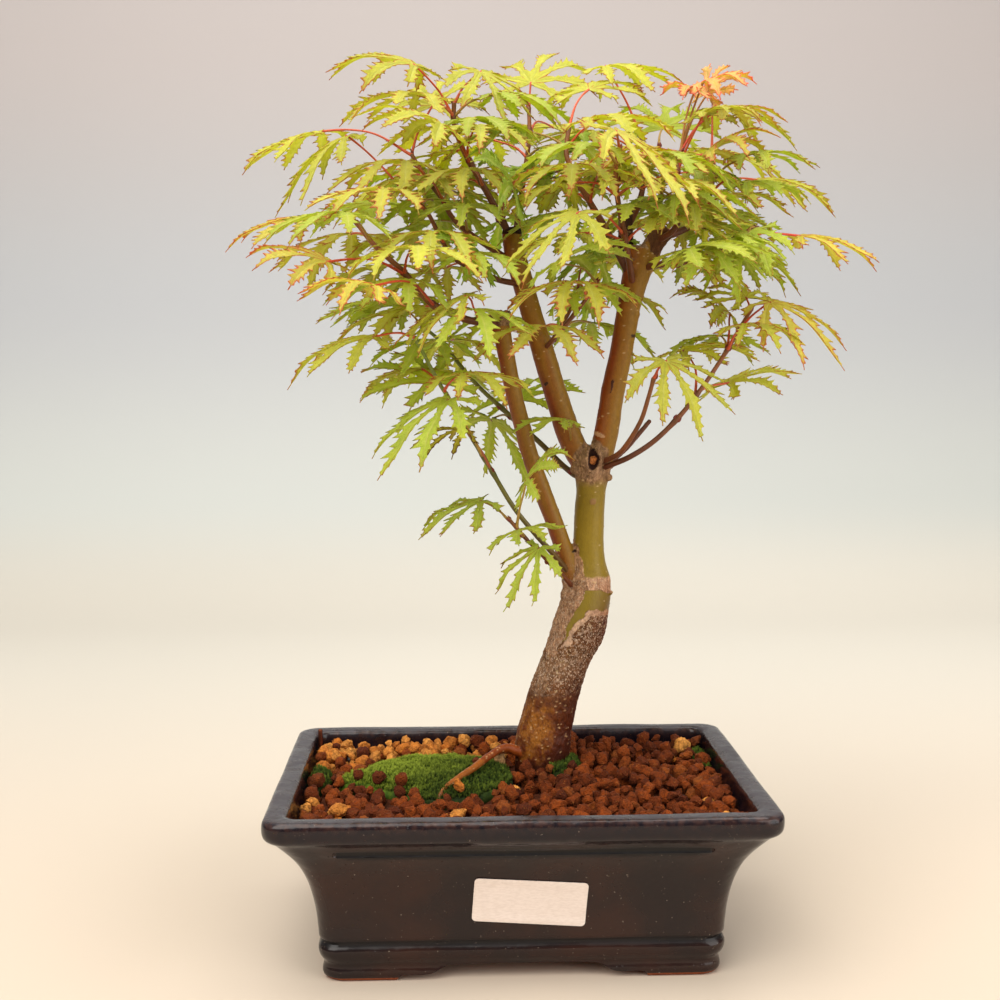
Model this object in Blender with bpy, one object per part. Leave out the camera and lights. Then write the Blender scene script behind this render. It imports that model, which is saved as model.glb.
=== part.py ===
"""A young Japanese maple bonsai in a glazed rectangular pot.

World frame: +Z up, origin on the table under the middle of the whole plant's bounding box.
Lengths below are millimetres from the middle of the pot's footprint, +X to the right of the
front, +Y to the back. The empty "plant" scales them to metres and shifts them to the origin.
"""

import math

import bmesh
import bpy
from mathutils import Matrix, Vector

MM = 0.001

# ---------------------------------------------------------------- driving dimensions (mm)
POT_WIDTH = 193.5
POT_DEPTH = 144.0
POT_CORNER = 8.0
POT_CENTRE = (-17.5, -24.4)       # where the pot stands under the whole plant's box

GAP = 0.3                         # between neighbours that touch
FLOOR_TOP = 12.0                  # inside floor of the pot
RECESS_HEIGHT = 6.5               # hollow under the pot, between its feet
RECESS_INSET = 28.0               # from the rim's outer face to the hollow's wall
DRAIN_RADIUS = 6.0
DRAIN_X = 42.0
SCREEN_RADIUS = 10.0
SCREEN_THICKNESS = 1.0

GROOVE_HEIGHT = 53.6              # shallow grooves under the rim, front and back
GROOVE_REACH = 69.0
GROOVE_RADIUS = 1.8
GROOVE_DEPTH = 1.2

SOIL_LEVEL = 58.5
MOUND = 3.5                       # extra height of the soil at the trunk
MOUND_REACH = 42.0
LUMP = 0.5                        # uneven top of the soil
TRUNK_FOOT = (13.0, 26.0)

STICKER_SIZE = (43.0, 18.0)
STICKER_CENTRE = (2.5, 31.7)      # x and z on the front wall
STICKER_TILT = 4.0                # degrees, right end down
STICKER_THICKNESS = 0.4
STICKER_STEPS = 8                 # flat strips that follow the hollow wall

# from the free end at the back left corner down to the left drain hole: (x, y, z, radius)
TIE_WIRE = [(-85.8, 54, 71, 1.0), (-85.2, 53.3, 62, 1.0), (-80.5, 50, 55, 1.0),
            (-73, 44, 47, 1.0), (-64, 32, 36, 1.0), (-54, 18, 25, 1.0), (-46, 6, 15.5, 1.0)]

# outlines of the moss cushions, seen from above
MOSS = {
    "moss_patch": [(-74, 10), (-66, 24), (-56, 35), (-41, 43), (-26, 39), (-12, 30), (-3, 23),
                   (-2, 10), (-2, -2), (-12, -11), (-28, -18), (-38, -14), (-49, -7), (-61, 2)],
    "moss_by_trunk": [(13, 12), (19, 8), (26, 12), (29, 21), (28, 31), (24, 35), (21, 24)],
}
MOSS_RISE = 3.0
MOSS_DEPTH = 2.5
MOSS_EDGE = 0.3                   # height of a cushion's edge above the soil

LEAF_THICKNESS = 0.8
PETIOLE_WIDTH = 1.0
PETIOLE_ARCH = 0.06               # rise of a stalk's middle, as a share of its length

# pot wall: (height, how far the outside steps in from the rim's outer face)
OUTER_WALL = [(0.0, 21.8), (2.4, 20.0), (5.8, 20.6), (8.6, 19.4), (11.8, 18.6), (14.8, 19.8),
              (16.8, 18.9), (19.8, 18.7), (27.0, 18.0), (34.0, 16.7), (40.0, 15.0), (46.0, 12.5),
              (53.5, 7.5), (60.0, 1.5), (62.0, 0.2), (66.5, 0.0), (68.0, 1.0)]
# the inside, from the rim down to the floor
INNER_WALL = [(68.0, 8.0), (67.0, 8.8), (60.0, 9.8), (50.0, 15.0), (40.0, 20.0), (30.0, 23.5),
              (20.0, 25.5), (12.0, 27.5)]
INNER_CORNER = 6.0

# the cloud-shaped cut between the feet: (distance from the middle, height)
FRONT_CLOUD = [(48.0, 0.0), (44.5, 2.6), (34.0, 3.2), (27.5, 6.0), (19.0, 6.5)]
SIDE_CLOUD = [(30.0, 0.0), (27.0, 2.6), (20.0, 3.2), (15.0, 6.0), (9.0, 6.5)]

# ---------------------------------------------------------------- the woody frame
# each route: (x, y, z, radius)
TRUNK = [(12.0, 26, 42, 8.0), (12.0, 26, 54, 11.0), (12.0, 26, 62, 11.4), (12.8, 26, 72, 12.0),
         (14.2, 26, 80, 11.2), (16.8, 26, 90, 10.9), (19.9, 26, 100, 10.3), (23.4, 26, 110, 10.2),
         (27.7, 26, 120, 11.3), (30.5, 26, 130, 10.7), (32.6, 26, 140, 9.4),
         (32.4, 26, 150, 7.4), (32.3, 26, 162, 6.5), (33.2, 26, 180, 6.4), (34.0, 26, 190, 7.6),
         (34.5, 26, 197, 7.0)]
LIMB_LEFT = [(29.5, 26, 128, 6.0), (25.2, 25.5, 143, 4.6), (20.2, 24.5, 160, 3.9),
             (12.8, 23.5, 180, 3.7), (6, 22.5, 200, 3.6), (-0.3, 20.5, 225, 3.5),
             (-5, 18.5, 249, 3.8), (-7.5, 18, 255, 3.4)]
LIMB_MIDDLE = [(34, 27, 188, 5.6), (26, 27, 200, 5.4), (19, 28, 220, 4.9), (13, 29, 240, 4.7),
               (10, 29.5, 250, 4.6), (1.7, 31, 280, 4.4), (0, 31.5, 291, 4.2)]
LIMB_RIGHT = [(35, 26, 189, 5.8), (38.6, 25.5, 200, 5.3), (42, 25, 220, 5.0), (46, 24.5, 240, 4.8),
              (49.3, 24, 260, 5.0), (53, 24, 275, 6.2), (54.5, 24, 282, 5.6)]
STUB_DARK = [(53, 27, 270, 3.4), (48.5, 29, 284, 3.2), (48.5, 31, 300, 3.0)]
STUB_ROUND = [(53, 24, 275, 4.2), (59, 23, 284, 4.2), (64, 22, 290, 4.0)]
CUT_TWIG = [(37, 28, 190, 1.4), (44, 31, 194, 1.3), (50, 33, 199, 1.2), (60, 36, 210, 1.1)]
EXPOSED_ROOT = [(8, 22, 66, 2.8), (1, 20, 69.6, 2.2), (-5, 17, 71.5, 1.8), (-12, 9, 69.6, 1.6),
                (-18, 1, 67.4, 1.5), (-24, -6, 65.6, 1.4), (-30, -13, 62.6, 1.3),
                (-33, -17, 58, 1.1)]
ROOT_STUB = [(-7, 20, 54, 3.0), (-7, 20, 60, 2.9), (-6, 18.5, 70, 2.0)]
TRUNK_SIDES = 12
# everything that grew out of the trunk: its route and how many sides its tube has
LIMBS = {
    "limb_left": (LIMB_LEFT, 8),
    "limb_middle": (LIMB_MIDDLE, 8),
    "limb_right": (LIMB_RIGHT, 8),
    "stub_dark": (STUB_DARK, 8),
    "stub_round": (STUB_ROUND, 8),
    "cut_twig": (CUT_TWIG, 6),
    "exposed_root": (EXPOSED_ROOT, 8),
    "root_stub": (ROOT_STUB, 8),
}

# ---------------------------------------------------------------- this year's shoots
# name: (radius at its foot, radius at its tip, route from inside its limb)
SHOOTS = {
    "shoot_left_main": (1.8, 0.9, [
        (-4, 19, 248), (-10, 14, 251.5), (-18, 10, 252), (-29, 4, 256), (-35, 1, 259.5),
        (-45, -3, 271), (-56, -6, 281), (-63, -6, 290)]),
    "shoot_left_low": (1.3, 0.7, [
        (27, 27, 141), (21.5, 21, 148.5), (15, 15, 156.5), (8, 11.5, 164.5), (-1, 10, 176),
        (-11, 9, 193), (-20, 8, 208), (-31, 6, 227), (-40.5, 4, 245)]),
    "shoot_left_basal": (1.1, 0.6, [
        (27.5, 26, 137), (20, 14.5, 146), (12.8, 7, 153.8), (5, 4, 162), (-2, 4, 170)]),
    "shoot_left_back": (1.4, 0.7, [
        (32, 28, 184), (23, 37, 190), (13, 42, 200), (1, 46, 211), (-15, 48, 226), (-30, 50, 244),
        (-38, 52, 251)]),
    "shoot_top_left_a": (1.4, 0.7, [
        (3, 31, 276), (-13, 31, 286), (-24, 32, 295), (-30, 34, 305), (-35, 36, 312),
        (-42, 38, 323)]),
    "shoot_top_left_b": (1.4, 0.7, [
        (5, 30, 268), (-5, 21, 269), (-13, 17, 272), (-25, 14, 278), (-31, 12, 288),
        (-36, 12, 297), (-44, 14, 304)]),
    "shoot_top_middle": (1.6, 0.8, [
        (0, 31, 287), (-8, 30, 302), (-16, 29, 316), (-21, 28, 325), (-24, 27, 334),
        (-24, 26, 342)]),
    "shoot_crown_back": (1.5, 0.8, [
        (1, 32, 284), (3, 45, 295), (6, 54, 313), (9, 58, 333), (9, 60, 347)]),
    "shoot_inner_back": (1.1, 0.7, [
        (13, 29, 238), (18, 38, 245), (26, 43, 258), (29, 45, 266)]),
    "shoot_inner_front": (1.1, 0.7, [
        (13, 28, 240), (18, 19, 246), (27, 14, 257), (34, 10, 267)]),
    "shoot_crown_left": (1.8, 0.9, [
        (51, 24, 268), (43, 20, 282), (37, 17, 292), (32, 16, 300), (27, 15, 309), (22, 15, 319),
        (23, 18, 331)]),
    "shoot_crown_front": (1.5, 0.8, [
        (51, 24, 265), (47, 10, 277), (43, -2, 289), (40, -9, 300), (39, -12, 310),
        (40, -14, 317)]),
    "shoot_right_main": (1.6, 0.8, [
        (53, 24, 274), (61, 14, 275), (68, 11, 275.5), (77, 8, 277), (85, 6, 281), (97, 4, 289)]),
    "shoot_right_middle": (1.7, 0.8, [
        (61, 22, 287), (69, 26, 289), (78, 28, 294), (82, 29, 301), (85, 30, 311), (85, 32, 323)]),
    "shoot_right_upper": (1.4, 0.8, [
        (60, 22, 285), (66, 14, 289), (69, 13, 297), (67, 13, 309), (69, 16, 321)]),
    "shoot_right_inner": (1.5, 0.8, [
        (53, 25, 277), (58, 37, 284), (63, 40, 300), (66, 42, 316), (64, 43, 327)]),
    "shoot_crown_right": (1.6, 0.8, [
        (49, 30, 292), (55, 39, 303), (58, 45, 316), (57, 50, 333)]),
    "shoot_right_back": (1.5, 0.8, [
        (51, 24, 258), (55, 40, 264), (61, 55, 273), (68, 70, 284), (72, 82, 294)]),
    "shoot_low_right": (1.3, 0.8, [
        (35, 26, 189), (42, 17, 192.5), (49, 13, 196), (58, 12, 202), (67, 12, 210.5),
        (74, 13, 218.5), (82, 15, 229), (91, 17, 242.5), (99, 18, 256)]),
    "shoot_low_right_inner": (1.2, 0.8, [
        (35, 25, 192), (42, 12, 196), (46, 6, 201), (51, 0, 211), (53.5, -5, 221),
        (55, -8, 228)]),
}

# ---------------------------------------------------------------- leaves
# name: (shoot, place along it, junction x, y, z, heading, lean, roll, size, droop)
# heading: way the middle lobe points, seen from the front, 0 = right, 90 = up
# lean: how far the middle lobe comes forward; roll: turn of the blade about the middle lobe
LEAVES = {
    "leaf_top_left": ("shoot_top_middle", 0.85, -40, 14, 355, 150, -15, 35, 42, 0.45),
    "leaf_top_back": ("shoot_crown_back", 1.0, 10, 62, 358, 70, -35, -15, 40, 0.30),
    "leaf_top_right": ("shoot_crown_right", 1.0, 42, 56, 364, 5, 25, -45, 36, 0.35),
    "leaf_young_red": ("shoot_right_upper", 1.0, 81, 22, 348, 35, 5, -45, 27, 0.30),
    "leaf_crown_right": ("shoot_right_middle", 1.0, 88, 50, 345, 5, -5, -55, 40, 0.35),
    "leaf_crown_front": ("shoot_crown_front", 1.0, 36, -38, 320, 320, 45, -45, 48, 0.25),
    "leaf_right_high_back": ("shoot_right_middle", 0.9, 96, 75, 331, 5, -35, -15, 38, 0.25),
    "leaf_right_high": ("shoot_right_middle", 0.7, 109, 54, 315, 10, -15, -45, 38, 0.35),
    "leaf_right_far": ("shoot_right_main", 0.85, 117, 8, 286, 5, -10, -50, 36, 0.35),
    "leaf_right_front": ("shoot_right_main", 0.35, 66, -22, 278, 20, 25, -70, 40, 0.50),
    "leaf_low_right_far": ("shoot_low_right", 0.93, 105, 8, 259, 340, 35, -30, 36, 0.40),
    "leaf_low_right_front": ("shoot_low_right_inner", 1.0, 59, -14, 235, 305, 50, -30, 34, 0.30),
    "leaf_low_right_back": ("shoot_low_right", 0.65, 75, 42, 240, 20, -15, -65, 37, 0.30),
    "leaf_left_high": ("shoot_top_middle", 0.45, -29, -10, 327, 150, 20, 50, 41, 0.50),
    "leaf_left_high_back": ("shoot_top_left_a", 1.0, -82, 52, 335, 185, -20, 50, 38, 0.25),
    "leaf_left_upper": ("shoot_top_left_b", 1.0, -68, 22, 328, 200, 10, 50, 35, 0.55),
    "leaf_left_far": ("shoot_left_main", 1.0, -83, -2, 292, 180, 15, 40, 33, 0.35),
    "leaf_left_middle": ("shoot_left_main", 0.7, -72, -36, 272, 150, 0, 40, 36, 0.40),
    "leaf_left_front": ("shoot_left_main", 0.5, -54, -51, 262, 160, 30, 75, 33, 0.40),
    "leaf_left_back": ("shoot_left_back", 1.0, -49, 46, 260, 165, -20, 60, 40, 0.35),
    "leaf_front_low": ("shoot_left_main", 0.2, -20, -22, 260, 200, 10, 60, 32, 0.30),
    "leaf_front_middle": ("shoot_top_middle", 0.1, -1, -12, 302, 115, 10, 40, 42, 0.50),
    "leaf_front_star": ("shoot_crown_front", 0.35, 20, -36, 287, 265, 55, 0, 46, 0.30),
    "leaf_low_left_far": ("shoot_left_low", 1.0, -57, 0, 245, 180, 0, 45, 36, 0.35),
    "leaf_low_left_front": ("shoot_left_low", 0.65, -27, -16, 220, 205, 30, 60, 36, 0.35),
    "leaf_base_upper": ("shoot_left_basal", 0.9, 4, -4, 187, 60, 14, -50, 36, 0.45),
    "leaf_base_left": ("shoot_left_basal", 1.0, -14, 8, 178, 190, 15, 60, 29, 0.25),
    "leaf_base_low": ("shoot_left_basal", 0.45, 9, -7, 160, 225, 30, 45, 24, 0.30),
    "leaf_back_left": ("shoot_crown_back", 0.55, -18, 84, 322, 150, -50, 15, 40, 0.35),
    "leaf_back_right": ("shoot_right_back", 1.0, 88, 92, 306, 30, -50, -10, 40, 0.35),
    "leaf_back_low": ("shoot_right_back", 0.6, 44, 88, 284, 250, -45, 10, 38, 0.30),
}

# lobes of a leaf: (angle off the middle lobe in degrees, length as a share of the leaf size)
LOBES = [(-112, 0.42), (-70, 0.76), (-34, 0.93), (0, 1.0), (34, 0.93), (70, 0.76), (112, 0.42)]
LOBE_HALF_WIDTH = 0.10            # share of the leaf size
LOBE_SHOULDER = 0.45              # where a lobe is widest, as a share of its length
VALLEYS = [-150, -91, -52, -17, 17, 52, 91, 150]    # angles between the lobes and beside them
SINUS_DEPTH = 0.17                # how far out the lobes part, as a share of the leaf size
BASE_DEPTH = 0.06                 # the same for the outermost two, beside the stalk
BACK_CURL = 0.08
LEVELLING = 0.75                  # share of a blade's face that is turned up to the light

# ---------------------------------------------------------------- finishes
FINISHES = {
    "glaze": ((0.012, 0.014, 0.022), 0.18),
    "akadama": ((0.22, 0.075, 0.028), 0.95),
    "moss": ((0.10, 0.22, 0.02), 0.95),
    "bark": ((0.16, 0.09, 0.045), 0.80),
    "young_bark": ((0.17, 0.055, 0.02), 0.60),
    "leaf_green": ((0.38, 0.52, 0.05), 0.55),
    "leaf_red": ((0.72, 0.23, 0.12), 0.55),
    "paper": ((0.85, 0.85, 0.84), 0.60),
    "mesh_plastic": ((0.02, 0.02, 0.02), 0.50),
    "wire": ((0.12, 0.045, 0.025), 0.45),
}
METALS = {"wire"}


def clear_scene():
    for item in list(bpy.data.objects):
        bpy.data.objects.remove(item, do_unlink=True)


def make_finishes():
    finishes = {}
    for name, (colour, roughness) in FINISHES.items():
        finish = bpy.data.materials.new(name)
        finish.use_nodes = True
        shader = finish.node_tree.nodes["Principled BSDF"]
        shader.inputs["Base Color"].default_value = (*colour, 1.0)
        shader.inputs["Roughness"].default_value = roughness
        shader.inputs["Metallic"].default_value = 1.0 if name in METALS else 0.0
        finishes[name] = finish
    return finishes


def add_object(name, bm, parent, finish=None, smooth=True):
    """Turns a bmesh in millimetres into a named object under the plant's empty."""
    bmesh.ops.recalc_face_normals(bm, faces=bm.faces)
    mesh = bpy.data.meshes.new(name)
    bm.to_mesh(mesh)
    bm.free()
    if smooth:
        mesh.shade_smooth()
        mesh.set_sharp_from_angle(angle=math.radians(40))
    item = bpy.data.objects.new(name, mesh)
    bpy.context.collection.objects.link(item)
    item.parent = parent
    if finish:
        mesh.materials.append(finish)
    return item


def make_cutter(item):
    """Keeps a shape out of the model, as a tool for other shapes only."""
    item.hide_render = True
    item.display_type = "WIRE"
    return item


def add_boolean(item, tool, operation):
    step = item.modifiers.new(operation.lower(), "BOOLEAN")
    step.operation = operation
    step.solver = "EXACT"
    step.object = tool


# ---------------------------------------------------------------- shape helpers
def loft(rings):
    """A closed solid through rings of equal point counts, with flat end caps."""
    bm = bmesh.new()
    rows = [[bm.verts.new(point) for point in ring] for ring in rings]
    count = len(rows[0])
    for low, high in zip(rows, rows[1:]):
        for i in range(count):
            j = (i + 1) % count
            bm.faces.new((low[i], low[j], high[j], high[i]))
    bm.faces.new(rows[0])
    bm.faces.new(rows[-1])
    return bm


def rounded_rectangle(half_x, half_y, radius, steps=3):
    """Points of a rounded rectangle, anticlockwise from the right side."""
    points = []
    corners = [(1, 1, 0), (-1, 1, 90), (-1, -1, 180), (1, -1, 270)]
    for sign_x, sign_y, start in corners:
        centre = (sign_x * (half_x - radius), sign_y * (half_y - radius))
        for step in range(steps + 1):
            angle = math.radians(start + 90 * step / steps)
            points.append((centre[0] + radius * math.cos(angle),
                           centre[1] + radius * math.sin(angle)))
    return points


def pot_ring(inset, height, corner):
    outline = rounded_rectangle(POT_WIDTH / 2 - inset, POT_DEPTH / 2 - inset, corner)
    return [Vector((x, y, height)) for x, y in outline]


def wall_inset(height, wall):
    """How far a wall stands in from the rim's outer face at a height."""
    steps = sorted(wall)
    for (low, inset_low), (high, inset_high) in zip(steps, steps[1:]):
        if height <= high:
            share = (height - low) / (high - low)
            return inset_low + share * (inset_high - inset_low)
    return steps[-1][1]


def frames_along(centres):
    """Tangent, side and up of a route, carried along without twist."""
    frames = []
    side = None
    for i, centre in enumerate(centres):
        ahead = centres[min(i + 1, len(centres) - 1)]
        behind = centres[max(i - 1, 0)]
        tangent = (ahead - behind).normalized()
        if side is None:
            side = tangent.cross(Vector((0.3, 1, 0.2))).normalized()
        side = (side - tangent * side.dot(tangent)).normalized()
        frames.append((tangent, side, tangent.cross(side)))
    return frames


def tube(route, sides, grow=0.0):
    """A solid along a route of (x, y, z, radius) points."""
    centres = [Vector(point[:3]) for point in route]
    frames = frames_along(centres)
    centres[0] -= frames[0][0] * grow
    centres[-1] += frames[-1][0] * grow
    rings = []
    for centre, point, (_, side, up) in zip(centres, route, frames):
        ring = []
        for k in range(sides):
            angle = 2 * math.pi * k / sides
            reach = point[3] + grow
            ring.append(centre + side * (reach * math.cos(angle)) + up * (reach * math.sin(angle)))
        rings.append(ring)
    return loft(rings)


def cylinder(radius, low, high, x, y, sides=16):
    turns = [2 * math.pi * k / sides for k in range(sides)]
    rings = []
    for height in (low, high):
        rings.append([Vector((x + radius * math.cos(turn), y + radius * math.sin(turn), height))
                      for turn in turns])
    return loft(rings)


# ---------------------------------------------------------------- pot and what lies in it
def make_pot(parent, finish):
    rings = [pot_ring(inset, height, POT_CORNER) for height, inset in OUTER_WALL]
    rings += [pot_ring(inset, height, INNER_CORNER) for height, inset in INNER_WALL]
    pot = add_object("pot", loft(rings), parent, finish)
    for name, tool in pot_tools():
        cutter = make_cutter(add_object(name, tool, parent))
        add_boolean(pot, cutter, "DIFFERENCE")


def pot_tools():
    """The hollow under the pot, the cuts between its feet, the grooves and the drain holes."""
    recess = loft([pot_ring(RECESS_INSET, -1.0, POT_CORNER),
                   pot_ring(RECESS_INSET, RECESS_HEIGHT, POT_CORNER)])
    yield "recess_tool", recess
    yield "front_cloud_tool", cloud(FRONT_CLOUD, POT_DEPTH / 2, along_x=True)
    yield "side_cloud_tool", cloud(SIDE_CLOUD, POT_WIDTH / 2, along_x=False)
    face = POT_DEPTH / 2 - wall_inset(GROOVE_HEIGHT, OUTER_WALL) + GROOVE_RADIUS - GROOVE_DEPTH
    for side, y in (("front", -face), ("back", face)):
        line = [(x, y, GROOVE_HEIGHT, GROOVE_RADIUS) for x in (-GROOVE_REACH, GROOVE_REACH)]
        yield f"groove_tool_{side}", tube(line, 8)
    for side, x in (("left", -DRAIN_X), ("right", DRAIN_X)):
        yield f"drain_tool_{side}", cylinder(DRAIN_RADIUS, 1.0, FLOOR_TOP + 1, x, 0)


def cloud(outline, reach, along_x):
    """A prism of the cloud outline, mirrored about the middle, right through the foot."""
    widest = outline[0][0]
    profile = [(-widest, -1.0)]
    profile += [(-x, z) for x, z in outline]
    profile += [(x, z) for x, z in reversed(outline)]
    profile.append((widest, -1.0))
    ends = []
    for end in (-reach, reach):
        if along_x:
            ends.append([Vector((x, end, z)) for x, z in profile])
        else:
            ends.append([Vector((end, x, z)) for x, z in profile])
    return loft(ends)


def soil_height(x, y):
    away = math.hypot(x - TRUNK_FOOT[0], y - TRUNK_FOOT[1])
    lumps = LUMP * math.sin(x * 0.31 + 1.0) * math.cos(y * 0.27)
    return SOIL_LEVEL + MOUND * math.exp(-(away / MOUND_REACH) ** 2) + lumps


def make_soil(parent, finish):
    corner = INNER_CORNER - GAP
    rings = []
    for height in (FLOOR_TOP + GAP, 20.0, 30.0, 40.0, 50.0):
        rings.append(pot_ring(wall_inset(height, INNER_WALL) + GAP, height, corner))
    edge = pot_ring(wall_inset(SOIL_LEVEL, INNER_WALL) + 2 * GAP, SOIL_LEVEL, corner)
    for point in edge:
        point.z = min(soil_height(point.x, point.y), SOIL_LEVEL)
    rings.append(edge)
    for share in (0.86, 0.7, 0.52, 0.34, 0.16):
        ring = [Vector((point.x * share, point.y * share, 0)) for point in edge]
        for point in ring:
            point.z = soil_height(point.x, point.y)
        rings.append(ring)
    soil = add_object("soil", loft(rings), parent, finish)
    add_boolean(soil, bpy.data.objects["bark_room"], "DIFFERENCE")
    for name, tool in soil_tools():
        cutter = make_cutter(add_object(name, tool, parent))
        add_boolean(soil, cutter, "DIFFERENCE")


def soil_tools():
    """Room in the soil for the wire, the screens and the moss."""
    yield "wire_room", tube(TIE_WIRE, 8, GAP)
    for side, x in (("left", -DRAIN_X), ("right", DRAIN_X)):
        top = FLOOR_TOP + 2 * GAP + SCREEN_THICKNESS
        yield f"screen_room_{side}", cylinder(SCREEN_RADIUS + GAP, FLOOR_TOP - 1, top, x, 0)
    for name, outline in MOSS.items():
        yield f"{name}_room", moss_solid(outline, GAP)


def moss_solid(outline, grow=0.0):
    """A low cushion on an outline, thickest in the middle, sunk a little into the soil."""
    middle = Vector((sum(x for x, _ in outline), sum(y for _, y in outline))) / len(outline)
    rings = []
    slope = [(1.0, -MOSS_DEPTH), (1.0, MOSS_EDGE), (0.75, 0.75 * MOSS_RISE), (0.35, MOSS_RISE)]
    for share, rise in slope:
        ring = []
        for x, y in outline:
            way = Vector((x, y)) - middle
            place = middle + way * share + way.normalized() * grow
            lift = rise - grow if rise < 0 else rise + grow
            ring.append(Vector((place.x, place.y, soil_height(place.x, place.y) + lift)))
        rings.append(ring)
    floor = min(point.z for point in rings[0])
    for point in rings[0]:
        point.z = floor
    return loft(rings)


def make_moss(parent, finish):
    for name, outline in MOSS.items():
        moss = add_object(name, moss_solid(outline), parent, finish)
        add_boolean(moss, bpy.data.objects["bark_room"], "DIFFERENCE")


def make_screens(parent, finish):
    low = FLOOR_TOP + GAP
    for side, x in (("left", -DRAIN_X), ("right", DRAIN_X)):
        disc = cylinder(SCREEN_RADIUS, low, low + SCREEN_THICKNESS, x, 0)
        add_object(f"drain_screen_{side}", disc, parent, finish)


def make_wire(parent, finish):
    add_object("tie_wire", tube(TIE_WIRE, 8), parent, finish)


def make_sticker(parent, finish):
    """A paper label that follows the hollow of the front wall."""
    tilt = Matrix.Rotation(math.radians(-STICKER_TILT), 2)
    half = Vector(STICKER_SIZE) / 2
    rings = []
    for step in range(STICKER_STEPS + 1):
        up = half.y * (2 * step / STICKER_STEPS - 1)
        ring = []
        for across, depth in ((-half.x, 0), (half.x, 0), (half.x, 1), (-half.x, 1)):
            spot = Vector(STICKER_CENTRE) + tilt @ Vector((across, up))
            inset = wall_inset(spot.y, OUTER_WALL) - GAP - STICKER_THICKNESS * depth
            ring.append(Vector((spot.x, inset - POT_DEPTH / 2, spot.y)))
        rings.append(ring)
    add_object("sticker", loft(rings), parent, finish, smooth=False)


# ---------------------------------------------------------------- trunk, limbs and shoots
def make_wood(name, parent, finish=None, grow=0.0):
    """Trunk, limbs, stubs and roots grew as one piece, so they are joined into one solid."""
    wood = add_object(name, tube(TRUNK, TRUNK_SIDES, grow), parent, finish)
    for limb, (route, sides) in LIMBS.items():
        shape = tube(route, sides, grow)
        tool = make_cutter(add_object(f"{name}_{limb}_tool", shape, parent))
        add_boolean(wood, tool, "UNION")
    return wood


def make_shoots(parent, finish):
    """Each shoot starts inside its limb and is cut back to just off the bark."""
    bark_room = bpy.data.objects["bark_room"]
    for name, (foot, tip, points) in SHOOTS.items():
        last = len(points) - 1
        route = [(*point, foot + (tip - foot) * i / last) for i, point in enumerate(points)]
        shoot = add_object(name, tube(route, 6), parent, finish)
        add_boolean(shoot, bark_room, "DIFFERENCE")


# ---------------------------------------------------------------- leaves
def shoot_point(name, place):
    """Point, direction and radius of a shoot at a share of its points."""
    foot, tip, points = SHOOTS[name]
    last = len(points) - 1
    index = min(int(place * last), last - 1)
    behind, ahead = Vector(points[index]), Vector(points[index + 1])
    spot = behind.lerp(ahead, place * last - index)
    return spot, (ahead - behind).normalized(), foot + (tip - foot) * place


def leaf_frame(heading, lean, roll):
    """Middle lobe's direction, the upper side's normal and the way across."""
    heading, lean, roll = (math.radians(angle) for angle in (heading, lean, roll))
    along = Vector((math.cos(lean) * math.cos(heading), -math.sin(lean),
                    math.cos(lean) * math.sin(heading)))
    front = Vector((0, -1, 0))
    flat = (front - along * front.dot(along)).normalized()
    normal = flat * math.cos(roll) + along.cross(flat) * math.sin(roll)
    normal = normal * (1 - LEVELLING) + Vector((0, 0, LEVELLING))
    normal = (normal - along * normal.dot(along)).normalized()
    return along, normal, normal.cross(along)


def leaf_outline(name):
    """The blade's edge from one side of the stalk round to the other."""
    _, _, x, y, z, heading, lean, roll, size, droop = LEAVES[name]
    junction = Vector((x, y, z))
    along, normal, across = leaf_frame(heading, lean, roll)

    def spot(angle, reach):
        """A point of the blade: lobes arch down and curl back as they reach out."""
        share = reach / size
        way = along * math.cos(angle) + across * math.sin(angle)
        flat = way * (reach * (1 - 0.12 * droop * share))
        return (junction + flat - Vector((0, 0, droop * size * share ** 2))
                - normal * (BACK_CURL * size * share ** 2))

    half = across * (PETIOLE_WIDTH / 2)
    outline = [junction - along - half]
    for i, (angle, length) in enumerate(LOBES):
        reach = size * length
        shoulder = reach * LOBE_SHOULDER
        spread = math.atan2(size * LOBE_HALF_WIDTH * (0.55 + 0.45 * length), shoulder)
        turn = math.radians(angle)
        depth = SINUS_DEPTH if i else BASE_DEPTH
        outline.append(spot(math.radians(VALLEYS[i]), size * depth))
        outline.append(spot(turn - spread, shoulder))
        outline.append(spot(turn, reach))
        outline.append(spot(turn + spread, shoulder))
    outline.append(spot(math.radians(VALLEYS[-1]), size * BASE_DEPTH))
    outline.append(junction - along + half)
    return junction, along, normal, outline


def make_leaf(name, parent, finish):
    """A thin blade with a triangle fan per lobe, drawn out into its stalk."""
    junction, along, normal, outline = leaf_outline(name)
    under = normal * LEAF_THICKNESS
    bm = bmesh.new()
    top = [bm.verts.new(point) for point in outline]
    low = [bm.verts.new(point - under) for point in outline]
    hubs = (bm.verts.new(junction), bm.verts.new(junction - under))
    for verts, hub in zip((top, low), hubs):
        for lobe in range(len(LOBES)):
            first = 1 + 4 * lobe
            valley, left, tip, right, next_valley = verts[first:first + 5]
            bm.faces.new((hub, valley, next_valley))
            bm.faces.new((valley, left, right))
            bm.faces.new((valley, right, next_valley))
            bm.faces.new((left, tip, right))
        bm.faces.new((hub, verts[0], verts[1]))
        bm.faces.new((hub, verts[-2], verts[-1]))
        bm.faces.new((hub, verts[-1], verts[0]))
    for i in range(len(top) - 1):
        bm.faces.new((top[i], top[i + 1], low[i + 1], low[i]))
    add_petiole(bm, (top[0], top[-1], low[-1], low[0]), junction - along, name)
    add_object(name, bm, parent, finish)


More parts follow.
